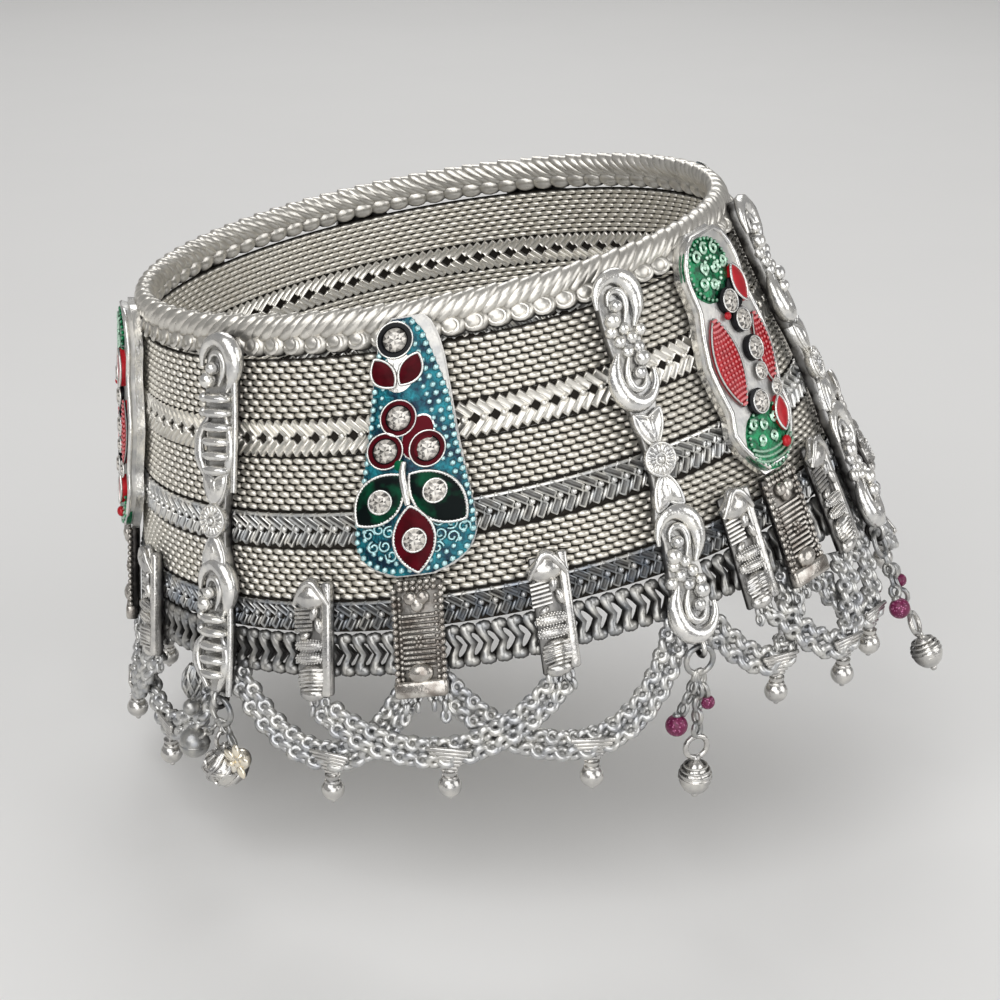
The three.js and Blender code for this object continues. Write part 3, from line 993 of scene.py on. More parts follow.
enamelLooks = {
    "teal": {"deep": (0.0, 0.02, 0.045), "light": (0.008, 0.21, 0.26), "top": (0.5, 0.78, 0.8),
             "lightFrom": 0.38, "metal": 0.7, "rough": 0.3, "shine": 0.5, "coat": 0.2,
             "patchSize": 1.9, "grainSize": 0.4, "bumpStrength": 0.9, "bumpDepth": 0.16},
    "green": {"deep": (0.0, 0.045, 0.018), "light": (0.0, 0.25, 0.09), "top": (0.6, 0.84, 0.68),
              "lightFrom": 0.36, "metal": 0.6, "rough": 0.28, "shine": 0.5, "coat": 0.25,
              "patchSize": 1.2, "grainSize": 0.4, "bumpStrength": 0.8, "bumpDepth": 0.14},
    "leafGreen": {"deep": (0.001, 0.004, 0.004), "light": (0.0, 0.095, 0.04), "top": (0.0, 0.1, 0.04),
                  "lightFrom": 0.47, "metal": 0.0, "rough": 0.35, "shine": 0.06, "coat": 0.03,
                  "patchSize": 3.2, "grainSize": 1.0, "bumpStrength": 0.15, "bumpDepth": 0.05},
    "darkRed": {"deep": (0.045, 0.0005, 0.003), "light": (0.085, 0.001, 0.006), "top": (0.1, 0.002, 0.008),
                "lightFrom": 0.34, "metal": 0.0, "rough": 0.35, "shine": 0.06, "coat": 0.03,
                "patchSize": 2.0, "grainSize": 0.8, "bumpStrength": 0.2, "bumpDepth": 0.05},
    "brightRed": {"deep": (0.34, 0.003, 0.01), "light": (0.5, 0.006, 0.014), "top": (0.7, 0.23, 0.24),
                  "lightFrom": 0.34, "metal": 0.1, "rough": 0.3, "shine": 0.3, "coat": 0.2,
                  "patchSize": 2.0, "grainSize": 0.6, "bumpStrength": 0.3, "bumpDepth": 0.06},
    "black": {"deep": (0.002, 0.002, 0.003), "light": (0.005, 0.005, 0.007), "top": (0.005, 0.005, 0.007),
              "lightFrom": 0.34, "metal": 0.0, "rough": 0.3, "shine": 0.15, "coat": 0.08,
              "patchSize": 1.5, "grainSize": 0.6, "bumpStrength": 0.1, "bumpDepth": 0.04},
}
tealEnamel = enamel("tealEnamel", enamelLooks["teal"])
greenEnamel = enamel("greenEnamel", enamelLooks["green"])
leafEnamel = enamel("leafGreenEnamel", enamelLooks["leafGreen"])
darkRedEnamel = enamel("darkRedEnamel", enamelLooks["darkRed"])
brightRedEnamel = enamel("brightRedEnamel", enamelLooks["brightRed"])
blackEnamel = enamel("blackEnamel", enamelLooks["black"])


def foiledStone():
    # clear glass over foil, drawn as painted reflections: each facet's colour is painted lighter or darker
    # from its facet value, under a clear coat
    paint = Paint("rhinestone")
    facet = paint.attribute("facet")
    patches = paint.noise(0.7, 1)
    return paint.finish({
        "Base Color": paint.mix(facet + (patches - 0.5) * 0.5, (0.05, 0.045, 0.04), (0.74, 0.7, 0.64)),
        "Metallic": 0.25,
        "Roughness": 0.12 + patches * 0.1,
        "Coat Weight": 1.0,
        "Coat Roughness": 0.02,
    })


def glitterBead():
    paint = Paint("magentaGlitter")
    flakes = paint.node("ShaderNodeTexVoronoi", None, {"Vector": paint.place(), "Scale": 1 / (0.42 * mm)})
    bright = paint.ramp(flakes, (0.05, 1), (0.35, 0))
    patches = paint.noise(0.5, 2)
    return paint.finish({
        "Base Color": paint.mix(bright, paint.mix(patches, (0.06, 0.002, 0.025), (0.22, 0.008, 0.08)),
                                (0.85, 0.3, 0.55)),
        "Metallic": bright * 0.7,
        "Roughness": 0.35 - bright * 0.15,
        "Normal": paint.bump(bright, 0.6, 0.12),
    })


rhinestone = foiledStone()
magentaGlitter = glitterBead()


def silverPart(piece, low, high, material=castSilver):
    # silver with painted shade in its recesses, or an enamel with lighter tops, graded between these two
    # heights; the light tops are partly painted highlight and partly bare silver
    markRelief(piece, low, high)
    return dress(piece, material)


# enamelled plaques

plaque = {
    "top": 2.2,  # depth of the plaque's top on the band
    "length": 35.2,
    "width": 17,
    "base": 1.3,
    "ground": 2.1,  # height of the enamel ground
    "cup": 2.42,
    "cupRise": 1.0,  # of the lip over the ground
    "cupDeep": 1.2,
    "cupWall": 0.13,
    "cupRoom": 0.12,  # round the stone on the dish's floor
    "cupSink": 0.35,
    "stone": 1.7,
    "stoneHeight": 0.55,
    "stoneSink": 0.34,
    "smallStone": 1.6,
    "smallStoneHeight": 0.5,
    "smallStoneWire": 0.16,
    "petal": 3.0,
    "borderWire": 0.2,
    "smallRelief": (2.2, 2.6),
    "edgeRelief": (2.7, 3.2),
}

# half widths as shares of the plaque's, from its top to its lower end
tealOutline = [(0, 0.26), (0.03, 0.38), (0.09, 0.49), (0.17, 0.57), (0.32, 0.655), (0.48, 0.745),
               (0.63, 0.86), (0.78, 0.98), (0.87, 1), (0.93, 0.89), (0.97, 0.68), (1, 0.32)]
# the right edge of the teal, which leaves a bare silver shoulder beside the plaque's top
tealRight = [(0, 0.1), (0.06, 0.28), (0.185, 0.46), (0.28, 0.6), (0.35, 0.665), (0.5, 0.75), (0.63, 0.87),
             (0.78, 0.99), (0.87, 1.01), (0.93, 0.9), (0.97, 0.69), (1, 0.33)]
greenOutline = [(0, 0.3), (0.04, 0.55), (0.1, 0.7), (0.17, 0.78), (0.24, 0.74), (0.3, 0.72), (0.41, 0.84),
                (0.52, 0.9), (0.62, 0.83), (0.72, 0.73), (0.81, 0.8), (0.88, 0.68), (0.93, 0.52), (1, 0.24)]


def onPlaque(across, along):
    return across * plaque["width"] / 2, -along * plaque["length"]


def plate(outline, shrink, low, high, crown=0.0, right=None, across=10, along=36):
    # a plate with this outline, drawn in by shrink all round; its right edge can have its own outline
    deselect()
    bpy.ops.mesh.primitive_grid_add(x_subdivisions=across, y_subdivisions=along, size=2)
    made = bpy.context.object
    points = readPoints(made)
    share = (1 - points[:, 1]) / 2
    left, right = [np.maximum(np.interp(share, *zip(*line)) * plaque["width"] / 2 - shrink, 0.25)
                   for line in (outline, right or outline)]
    side = points[:, 0].copy()
    points[:, 0] = side * np.where(side < 0, left, right)
    points[:, 1] = -(share * (plaque["length"] - 2 * shrink) + shrink)
    points[:, 2] = high + crown * (1 - side ** 2)
    writePoints(made, points)
    modify(made, "SOLIDIFY", thickness=high - low, offset=-1)
    return made


def edgePath(outline, shrink, height, right=None):
    # the outline as a closed path that starts at the top right, drawn in by shrink
    shares = np.linspace(0.012, 0.988, 34)
    y = -(shares * (plaque["length"] - 2 * shrink) + shrink)
    sides = []
    for sign, line in ((1, right or outline), (-1, outline)):
        half = np.maximum(np.interp(shares, *zip(*line)) * plaque["width"] / 2 - shrink, 0.3)
        sides.append(np.stack([sign * half, y, np.full_like(y, height)], 1))
    return np.vstack([sides[0], sides[1][::-1]])


def cuppedStone(across, along, enamelInside):
    # a stone sunk in an enamelled dish with a fine silver lip
    x, y = onPlaque(across, along)
    radius, deep, stone = plaque["cup"], plaque["cupDeep"], plaque["stone"]
    level = plaque["ground"] + plaque["cupRise"]
    dish = rod((x, y, level - deep / 2), radius, deep, sides=24)
    edit(dish)
    pickFaces(lambda at, facing: facing.z > 0.9)
    bpy.ops.mesh.inset(thickness=radius - stone - plaque["cupRoom"], depth=0)
    bpy.ops.mesh.inset(thickness=0.05, depth=-plaque["cupSink"])
    finishEdit()
    lip = ring((x, y, level), radius + 0.02, plaque["cupWall"], steps=28, sides=6)
    return [dress(rounded(dish, 30), enamelInside), silverPart(rounded(lip, 80), *plaque["smallRelief"]),
            gem((x, y, level - plaque["stoneSink"]), stone, plaque["stoneHeight"])]


def bareStone(across, along, height, radius=plaque["smallStone"]):
    # a stone in a plain silver ring
    x, y = onPlaque(across, along)
    rim = ring((x, y, height + 0.2), radius, plaque["smallStoneWire"], steps=20, sides=6)
    return [silverPart(rounded(rim, 80), *plaque["smallRelief"]),
            gem((x, y, height + 0.1), radius, plaque["smallStoneHeight"])]


def enamelPetal(across, along, length, width, turn, material, bend=0, level=plaque["petal"], milled=False):
    # a petal whose length and width are shares of the plaque's, with a wire or a milled border
    root = onPlaque(across, along)
    long, wide = length * plaque["length"], width * plaque["width"]
    field = cushion(petalOutline(root, long, wide, turn, level, bend), 0.9, 0.15)
    parts = [dress(rounded(field, 35), material)]
    border = petalOutline(root, long, wide, turn, level + 0.1, bend)
    if milled:
        parts.append(silverPart(beadsAlong(border, 0.5, 0.46, closed=True), *plaque["edgeRelief"]))
    parts.append(silverPart(wire(border, plaque["borderWire"], closed=True, steps=2), *plaque["edgeRelief"]))
    return parts


def curls(places, size, turns, height, radius):
    # small scrolls on an enamel ground
    widths = [0.8, 1, 1, 1, 1, 1, 1, 1, 1.3]
    return [wire(spiral(place, size, size * 0.3, turn, 420, height), radius, widths=widths, steps=2, sides=4)
            for place, turn in zip(places, turns)]


tealDesign = {
    # how far in from the edge, first and last point of it, size and spacing of the beads
    "beadRows": [(0.5, 0, 68, 1.0, 1.2), (1.6, 2, 22, 0.95, 1.15), (2.7, 4, 20, 0.8, 1.1),
                 (1.55, 27, 40, 0.85, 1.1), (1.55, 54, 64, 0.7, 1.05)],
    "pad": ((-1.5, -7.4), 4.6, 5.4),  # a silver rise below the top stone: middle, width, length
    "cups": [(-0.2, 0.085, blackEnamel), (-0.19, 0.385, darkRedEnamel), (-0.42, 0.506, darkRedEnamel),
             (0.26, 0.515, darkRedEnamel)],
    "field": ((0.95, -16.4), 3.9, 5.9, -24),  # the red oval: middle, width, length, turn
    # across, down, length and width in shares of the plaque's, then turn, enamel, bend, level, milled
    "petals": [(-0.24, 0.264, 0.135, 0.18, 33, darkRedEnamel, -0.25, 2.9, False),
               (-0.14, 0.259, 0.135, 0.18, -33, darkRedEnamel, 0.25, 2.9, False),
               (-0.17, 0.605, 0.25, 0.36, 135, leafEnamel, 0, 3.0, True),
               (-0.03, 0.605, 0.29, 0.35, -133, leafEnamel, 0, 3.0, True),
               (0.09, 0.985, 0.26, 0.34, 7, darkRedEnamel, 0, 3.15, True)],
    "stem": [(-1.0, -19.5), (-1.25, -21.2), (-0.95, -23.4), (-0.6, -25.4)],
    "bud": (-1.7, -19.9),
    "stones": [(-0.52, 0.7, 3.15), (0.37, 0.68, 3.15), (0.03, 0.86, 3.3)],
    "scrolls": [(-6.3, -29.0), (-4.8, -28.4), (-3.4, -28.9), (-5.6, -30.8), (-4.0, -30.7), (-3.1, -32.1),
                (3.6, -27.9), (5.3, -28.6), (3.7, -29.9), (5.4, -30.5), (6.9, -29.4), (3.3, -31.7)],
}


def tealPlaque():
    design, ground = tealDesign, plaque["ground"]
    base = rounded(plate(tealOutline, -0.05, 0, plaque["base"]), 50)
    step = rounded(plate(tealOutline, 0.18, 0, ground - 0.1, crown=0.15), 50)
    parts = [silverPart(base, 0.2, 1.8, satinSilver), silverPart(step, 0.2, 1.9, satinSilver)]
    field = plate(tealOutline, 0.2, 0.9, ground, crown=0.4, right=tealRight, across=14, along=48)
    parts.append(silverPart(rounded(field, 40), 2.4, 3.4, tealEnamel))
    for shrink, first, last, size, spacing in design["beadRows"]:
        edge = edgePath(tealOutline, shrink, ground + 0.2 + shrink * 0.08, right=tealRight)
        row = beadsAlong(edge[first:last], size, spacing, closed=last - first == len(edge))
        parts.append(silverPart(rounded(row, 80), ground + 0.02, ground + 0.5, tealEnamel))
    middle, wide, long = design["pad"]
    pad = cushion(roundOutline(middle, wide, long, 0, ground + 0.45), 0.5, 0.12, 0.4)
    parts.append(silverPart(rounded(pad, 50), 0.5, 2.2))
    for across, along, inside in design["cups"]:
        parts += cuppedStone(across, along, inside)
    middle, wide, long, turn = design["field"]
    for grow, level, crown, material in [(0.45, 0.5, 0.05, castSilver), (0, 0.8, 0.1, darkRedEnamel)]:
        oval = roundOutline(middle, wide + grow, long + grow, turn, ground + level)
        parts.append(silverPart(rounded(cushion(oval, 0.6, crown), 35), 2.2, 2.5, material))
    for petal in design["petals"]:
        parts += enamelPetal(*petal)
    stem = wire([(x, y, plaque["petal"] + 0.2) for x, y in design["stem"]], 0.5, widths=[0.9, 1.1, 1.2, 0.9])
    parts.append(silverPart(stem, *plaque["smallRelief"]))
    bud = ball((*design["bud"], plaque["petal"]), (1.5, 1.6, 0.8))
    parts.append(silverPart(bud, 2.6, 3.1, leafEnamel))
    for stone in design["stones"]:
        parts += bareStone(*stone)
    scrolls = joined(curls(design["scrolls"], 0.9, range(0, 396, 33), ground + 0.45, 0.23))
    parts.append(silverPart(scrolls, ground + 0.1, ground + 0.7, tealEnamel))
    return joined(parts)


def granuleRows(outline, count, height, size):
    # rows of fine granules that follow a petal's length
    outline = np.asarray(outline)
    half = len(outline) // 2
    right, left = outline[:half + 1], np.vstack([outline[half:], outline[:1]])[::-1]
    rows = []
    for number in range(count):
        share = (number + 0.5) / count
        path = right * (1 - share) + left * share
        path[:, 2] = height
        rows.append(spread(path[1:-1], size * 1.25))
    return granules(size, np.concatenate(rows))


greenDesign = {
    "lobes": [((-1.4, -5.7), 9.8, 9.8), ((0, -30.5), 9.8, 9.6)],  # middle, width, length
    # across, down, length and width in shares of the plaque's, then turn, bend and rows of granules
    "grainPetals": [(-0.4, 0.715, 0.37, 0.3, 4, 0, 6), (0.5, 0.69, 0.29, 0.23, -3, 0.35, 4)],
    "darkPatch": ((1.9, -10.2), 3.0, 4.4, 10),
    "smallPetals": [(0.45, 0.345, 0.165, 0.19, 10), (0.32, 0.88, 0.14, 0.17, -10)],
    "stones": [(0.02, 0.313), (0.2, 0.404), (0.27, 0.53), (-0.04, 0.73)],
    "tinyStones": [(0.22, 0.622), (0.5, 0.715)],
    "redBalls": [(-1.5, -12.7, 1.2), (2.4, -32.5, 1.7)],
    "upperScrolls": [(-3.6, -3.4), (-1.6, -2.7), (0.6, -3.2), (-2.6, -5.2), (-0.4, -5.6), (1.7, -5.4),
                     (-3.9, -7.2), (-1.9, -7.9)],
    "lowerScrolls": [(-3.0, -28.2), (-0.9, -28.8), (1.6, -28.4), (-2.2, -30.6), (0.3, -30.9)],
    "arcs": (0.4, 1.15, 1.9),  # how far down the wires across the lower lobe are
    # middle, width, length and height over the ground of the rings of granules
    "grainRings": [((-1.4, -5.7), 8.8, 8.8, 0.45), ((0, -30.5), 8.8, 8.6, 0.45),
                   ((-1.2, -6.0), 3.4, 4.0, 0.7)],
}


def greenSetting():
    # the silver base, its face and its edge wire, with two raised green lobes
    ground, outline = plaque["ground"], greenOutline
    base = plate(outline, -0.2, 0, plaque["base"], across=12, along=52)
    face = plate(outline, 0.2, 0, ground, crown=0.3, across=12, along=52)
    edge = wire(edgePath(outline, 0.3, ground + 0.15), 0.42, closed=True, steps=1)
    parts = [silverPart(rounded(base, 50), -0.5, 0.4), silverPart(rounded(face, 50), 0.8, 2.0, satinSilver),
             silverPart(edge, 1.2, 2.0)]
    for middle, wide, long in greenDesign["lobes"]:
        lobe = cushion(roundOutline(middle, wide, long, 0, ground + 0.2), 0.8, 0.4, 1.2)
        parts.append(silverPart(rounded(lobe, 40), 2.7, 3.6, greenEnamel))
    return parts


def grainPetal(across, along, length, width, turn, bend, count):
    # a bright red petal that is filled with rows of granules
    ground = plaque["ground"]
    parts = enamelPetal(across, along, length, width, turn, brightRedEnamel, bend, ground + 0.5)
    outline = petalOutline(onPlaque(across, along), length * plaque["length"], width * plaque["width"] * 0.88,
                           turn, 3.0, bend)
    grains = rounded(granuleRows(outline, count, ground + 0.75, 0.56), 80)
    return parts + [silverPart(grains, ground + 0.55, ground + 0.98, brightRedEnamel)]


def greenPlaque():
    design, ground = greenDesign, plaque["ground"]
    parts = greenSetting()
    for petal in design["grainPetals"]:
        parts += grainPetal(*petal)
    middle, wide, long, turn = design["darkPatch"]
    patch = cushion(roundOutline(middle, wide, long, turn, ground + 0.8), 0.6, 0.1)
    parts.append(dress(rounded(patch, 35), blackEnamel))
    for petal in design["smallPetals"]:
        parts += enamelPetal(*petal, brightRedEnamel, level=3.15)
    for across, along in design["stones"]:
        x, y = onPlaque(across, along)
        # a black enamel disc set off up and to the left under each stone, as a painted shadow
        shade = rod((x - 0.55, y + 0.25, ground + 0.5), 1.85, 1.0, sides=20)
        parts += [dress(shade, blackEnamel), *bareStone(across, along, ground + 0.75)]
    for across, along in design["tinyStones"]:
        parts += bareStone(across, along, ground + 0.7, 1.2)
    for x, y, size in design["redBalls"]:
        parts.append(dress(rounded(ball((x, y, 3.0), (size, size, size * 0.8)), 60), brightRedEnamel))
    filigree = curls(design["upperScrolls"], 0.9, range(0, 320, 40), ground + 0.72, 0.24)
    filigree += curls(design["lowerScrolls"], 0.8, range(30, 330, 60), ground + 0.72, 0.24)
    for drop in design["arcs"]:
        arc = [(x, -29.7 - drop - 2.4 * math.sqrt(max(0, 1 - (x / 4.9) ** 2)), ground + 0.6)
               for x in (-4.4, -3.6, -1.9, 0, 1.9, 3.6, 4.4)]
        filigree.append(wire(arc, 0.22, steps=2, sides=4))
    grains = [joined(filigree)]
    for middle, wide, long, rise in design["grainRings"]:
        grains.append(beadsAlong(roundOutline(middle, wide, long, 0, ground + rise), 0.7, 0.85, closed=True))
    for grain in grains:
        parts.append(silverPart(rounded(grain, 80), ground + 0.3, ground + 0.85, greenEnamel))
    return joined(parts)


plaqueStations = [
    ("front", -5, -7, "teal"), ("instep", 53.3, -8, "green"), ("back_instep", 117, -4, "teal"),
    ("back_heel", 198, 2, "teal"), ("heel", 282, 0, "green"),
]
plaqueMasters = {"teal": tealPlaque(), "green": greenPlaque()}
for name, at, turn, design in plaqueStations:
    made = copied(plaqueMasters[design])
    layAt(made, {"at": at, "turn": turn}, plaque["top"])
    handIn(made, "plaque_" + name + "_enamelled", design + "_enamel", "plaque_" + name)
throwAway(*plaqueMasters.values())
print("plaques made")


# cast bars

castBar = {
    "top": 2.8,
    "length": 52.1,
    "stripWidth": 5.6,
    "strip": 1.7,
    "level": 2.0,  # height of the curls over the strip's back
    "hookWire": 1.0,
    "innerWire": 0.6,
    "ball": 1.95,
    "leafTurn": 24,
    "rosette": 2.3,
    "ribs": 16,
    "ribCircle": 0.66,  # in shares of the rosette's radius
    "rollWide": 4.7,
    "rollPitch": 2.05,
    "relief": (1.2, 2.75),
}


def hookCurl(y, flip):
    # a broad crescent over a smaller one and two balls; flip turns it upside down and to the other side
    level = castBar["level"]
    crescents = [
        ([(-3.1, -1.0), (-2.8, 0.9), (-1.0, 2.7), (1.2, 2.6), (2.8, 0.7), (3.0, -2.0), (1.8, -4.6)],
         (0.3, 0.6, 0.95, 1.35, 1.5, 1.15, 0.3), castBar["hookWire"], 0),
        ([(-1.5, -0.9), (-1.0, 0.5), (0.2, 0.9), (1.1, 0), (1.2, -1.7), (0.4, -3.7)],
         (0.3, 0.6, 0.9, 1.0, 0.85, 0.3), castBar["innerWire"], 0.2),
    ]
    parts = []
    for path, widths, radius, rise in crescents:
        points = [(x * flip, y + v * flip, level + rise) for x, v in path]
        parts.append(wire(points, radius, widths=widths, sides=8, steps=4))
    for x, v, wide in ((-1.5, -3.0, 2.4), (-0.5, -1.2, 1.9)):
        place = (x * flip, y + v * flip, level + 0.5)
        parts.append(ball(place, (wide, wide, 2.4), segments=12, rings=8))
    return parts


def ballCluster(y, flip):
    places = [(-1.9, 1.7), (0.1, 1.75), (-1.0, 0.1), (1.0, 0.25), (2.6, 0.9), (-0.2, -1.5), (1.7, -1.35)]
    size = castBar["ball"]
    return [ball((x * flip, y + v * flip, castBar["level"] - 0.15), (size, size, size), segments=10, rings=7)
            for x, v in places]


def leafBud(y, flip):
    # two folded leaves round a bud
    level = castBar["level"]
    parts = []
    for side in (-1, 1):
        turn = castBar["leafTurn"] * side
        leaf = ((0.2 * side, y - 2.6 * flip), 5.6, 2.6, turn if flip > 0 else 180 - turn)
        bend = 0.5 * side * flip
        parts.append(cushion(petalOutline(*leaf, level + 0.3, bend), 1.9, 0.55, 0.35))
        parts.append(wire(petalOutline(*leaf, level + 0.35, bend), 0.22, closed=True, steps=2))
    parts.append(ball((0, y + 0.3 * flip, level + 0.1), (1.7, 3.4, 1.9), segments=10, rings=8))
    return parts


def rosette(y):
    # a disc with a circle of ribs, two fine rings and a bead
    radius, level, ribs = castBar["rosette"], castBar["level"], castBar["ribs"]
    parts = [rod((0, y, level + 0.2), radius * 0.96, 1.6, sides=32, soften=0.15)]
    ribOut = radius * castBar["ribCircle"]
    for number in range(ribs):
        turn = math.radians(360 / ribs * number)
        rib = ball((0, 0, 0), (0.62, 1.5, 0.7), segments=8, rings=6)
        rib.location = (-ribOut * math.sin(turn), y + ribOut * math.cos(turn), level + 1.0)
        rib.rotation_euler = (0, 0, turn)
        parts.append(settle(rib))
    parts.append(ring((0, y, level + 0.95), radius * 0.98, 0.2, steps=32))
    parts.append(ring((0, y, level + 1.1), radius * 0.36, 0.16, steps=16))
    parts.append(ball((0, y, level + 1.1), (1.1, 1.1, 0.9), segments=12, rings=8))
    return parts


def ridgedRolls(y, count):
    # stacked smooth rolls in a cheek arc, with two balls beside the upper ones
    level, pitch = castBar["level"], castBar["rollPitch"]
    parts = []
    for number in range(count):
        wide = castBar["rollWide"] + 0.7 * math.sin(math.pi * (number + 0.5) / count)
        size = (wide, pitch * 0.82, 3.1)
        parts.append(ball((0.4, y - number * pitch, level + 0.5), size, segments=14, rings=8))
        if number < 2:
            parts.append(ball((-2.6, y - number * pitch, level), (1.6, 1.6, 1.7), segments=10, rings=6))
    long = count * pitch
    rail = [(3.0, y + 4.5, level), (3.3, y - long * 0.3, level), (3.2, y - long - 1.0, level - 0.1)]
    parts.append(wire(rail, 0.5, sides=8))
    for side, reach in ((-1, 3.3), (1, 2.6)):
        path = [(side * 1.6, y - pitch * 1.2, level), (side * reach, y - long * 0.45, level + 0.1),
                (side * reach, y - long * 0.7, level + 0.1), (side * 1.2, y - long - 0.3, level)]
        parts.append(wire(path, 0.75, widths=(0.4, 0.9, 1.1, 0.5), sides=8, steps=4))
    return parts


# half widths of a bar's strip as shares, from its top to its lower end
stripOutline = [(0, 0.3), (0.03, 0.8), (0.1, 1), (0.19, 0.95), (0.27, 0.78), (0.34, 0.95), (0.4, 0.6),
                (0.5, 0.5), (0.6, 0.6), (0.66, 0.95), (0.73, 0.78), (0.81, 0.95), (0.9, 1), (0.97, 0.75),
                (1, 0.3)]


def barStrip():
    deselect()
    bpy.ops.mesh.primitive_grid_add(x_subdivisions=4, y_subdivisions=44, size=2)
    strip = bpy.context.object
    points = readPoints(strip)
    share = (1 - points[:, 1]) / 2
    points[:, 0] *= np.interp(share, *zip(*stripOutline)) * castBar["stripWidth"] / 2
    points[:, 1] = -share * castBar["length"]
    points[:, 2] = castBar["strip"]
    writePoints(strip, points)
    modify(strip, "SOLIDIFY", thickness=castBar["strip"], offset=-1)
    return modify(strip, "BEVEL", width=0.2, segments=2, limit_method="ANGLE", angle_limit=math.radians(60))


def barLoop():
    # the loop under the bar that the tassel's jump ring passes through
    return ring((0, -castBar["length"] - 1.15, 0.4), 1.35, 0.4, turn=(0, 90, 0), steps=18)


# the forms on each kind of bar: how far down they are, and which way up or how many
barDesigns = {
    "plain": [(hookCurl, -3.5, 1), (ballCluster, -9.7, 1), (hookCurl, -15.6, -1), (hookCurl, -37.0, 1),
              (ballCluster, -42.6, -1), (hookCurl, -48.6, -1)],
    "rolls": [(hookCurl, -3.5, 1), (ridgedRolls, -9.0, 6), (hookCurl, -36.0, 1), (ridgedRolls, -40.9, 5)],
}


def castBarMaster(kind):
    parts = [barStrip(), barLoop(), *leafBud(-22.3, 1), *rosette(-26.6), *leafBud(-30.9, -1)]
    for form, y, choice in barDesigns[kind]:
        parts += form(y, choice)
    return silverPart(rounded(joined(parts), 70), *castBar["relief"])


barMasters = {kind: castBarMaster(kind) for kind in barDesigns}
for name, kind in [("left", "rolls"), ("right", "plain"), ("instep", "plain"), ("heel", "rolls")]:
    made = copied(barMasters[kind])
    layAt(made, stations[name], castBar["top"])
    handIn(made, "bar_" + name + "_cast", "cast_silver", "bar_" + name)
throwAway(*barMasters.values())
print("bars made")


# the clasp at the back: a plain closed housing with a milled frame

clasp = {
    "width": 11,
    "height": 3.2,
    "body": 0.84,  # height of the body as a share of it
    "slices": 24,  # cuts that let the body follow the band
    "ribs": 9,
    "relief": (1.2, 3.0),
}


def claspHousing():
    length, height, slices = castBar["length"], clasp["height"], clasp["slices"]
    low = height * clasp["body"]
    body = block((0, -length / 2, low / 2), (clasp["width"] - 0.6, length - 1.2, low), soften=0.7, steps=3)
    edit(body)
    pickFaces(lambda at, facing: facing.z > 0.95 and at.z > height * 0.7)
    bpy.ops.mesh.inset(thickness=0.8)
    bpy.ops.mesh.inset(thickness=0.25, depth=-0.3)
    finishEdit()
    modify(body, "SUBSURF", levels=1, render_levels=1, subdivision_type="SIMPLE")
    for cut in range(1, slices):
        edit(body)
        bpy.ops.mesh.select_all(action="SELECT")
        bpy.ops.mesh.bisect(plane_co=(0, -cut * length / slices, 0), plane_no=(0, 1, 0))
        finishEdit()
    half, top, bottom = clasp["width"] / 2 - 0.7, -1.2, -length + 1.2
    frame = [(-half, top, low), (half, top, low), (half, bottom, low), (-half, bottom, low)]
    parts = [body, barLoop(), beadsAlong(frame, 0.7, 0.8, closed=True)]
    for number in range(clasp["ribs"]):
        y = -length * (number + 1.4) / 10.8
        rib = [(-3.6, y - 0.8, height * 0.76), (0, y + 0.7, height * 0.8), (3.6, y - 0.8, height * 0.76)]
        parts.append(wire(rib, 0.42, sides=8, widths=(0.5, 1, 0.5)))
    parts.append(rod((0, -length / 2, height * 0.8), 2.4, 0.8, sides=28, soften=0.15))
    return silverPart(rounded(joined(parts), 50), *clasp["relief"])


made = claspHousing()
layAt(made, stations["back"], castBar["top"])
handIn(made, "clasp_housing", "cast_silver", "clasp")
print("clasp made")


# links between the edge chain and the festoons

def ovalChain(start, length, turn, linkLong=2.6, linkWide=1.8, radius=0.32):
    # plain oval links, each a quarter turn from the next, hanging from start
    count = max(2, round(length / (linkLong - 2.2 * radius)))
    step = length / count
    parts = []
    for number in range(count):
        link = ovalRing(linkWide / 2, step / 2 + radius * 1.1, radius, 10)
        link.rotation_euler = (0, math.radians(20 + 90 * (number % 2)), 0)
        link.location = (0, -step * (number + 0.5), 0)
        parts.append(settle(link))
    chain = joined(parts)
    chain.rotation_euler = (0, 0, -math.radians(turn))
    chain.location = start
    return settle(chain)


def shortChains(places, y, length):
    # clusters of links that hang below a cast link
    chains = joined([ovalChain((x, y, 0.1), length, turn, 2.4, 1.8, 0.36) for x, turn in places])
    return silverPart(rounded(chains, 80), -1.2, 0.3, shadedGreySilver)


def castForms(forms):
    return [ball(place, size, (0, 0, turn), segments, rings) for place, size, turn, segments, rings in forms]


linkTops = {"side": 37.0, "middle": 37.7}  # depth of a link's top on the band
# rounded cast forms: place, size, turn, and how many segments and rings
sideForms = [
    ((0.55, -4.9, 1.6), (1.3, 2.2, 1.6), -18, 10, 8),
    ((1.3, -6.6, 1.6), (1.2, 2.5, 1.6), 14, 10, 8),
    ((-1.1, -8.2, 1.3), (1.8, 1.1, 1.2), 30, 8, 6),
    ((0.1, -14.0, 1.1), (4.7, 3.9, 2.6), 0, 16, 10),
    ((0, -16.4, 1.0), (3.9, 2.2, 2.2), 0, 14, 8),
]
middleForms = [
    ((-0.85, -2.75, 1.7), (2.1, 2.0, 1.6), 25, 12, 8),
    ((0.85, -2.75, 1.7), (2.1, 2.0, 1.6), -25, 12, 8),
    ((0, -3.7, 1.6), (2.0, 2.2, 1.5), 0, 12, 8),
    ((0, -8.8, 1.8), (0.55, 0.55, 0.6), 0, 6, 4),
    ((0, -13.2, 1.45), (3.8, 2.9, 2.1), 0, 14, 8),
]


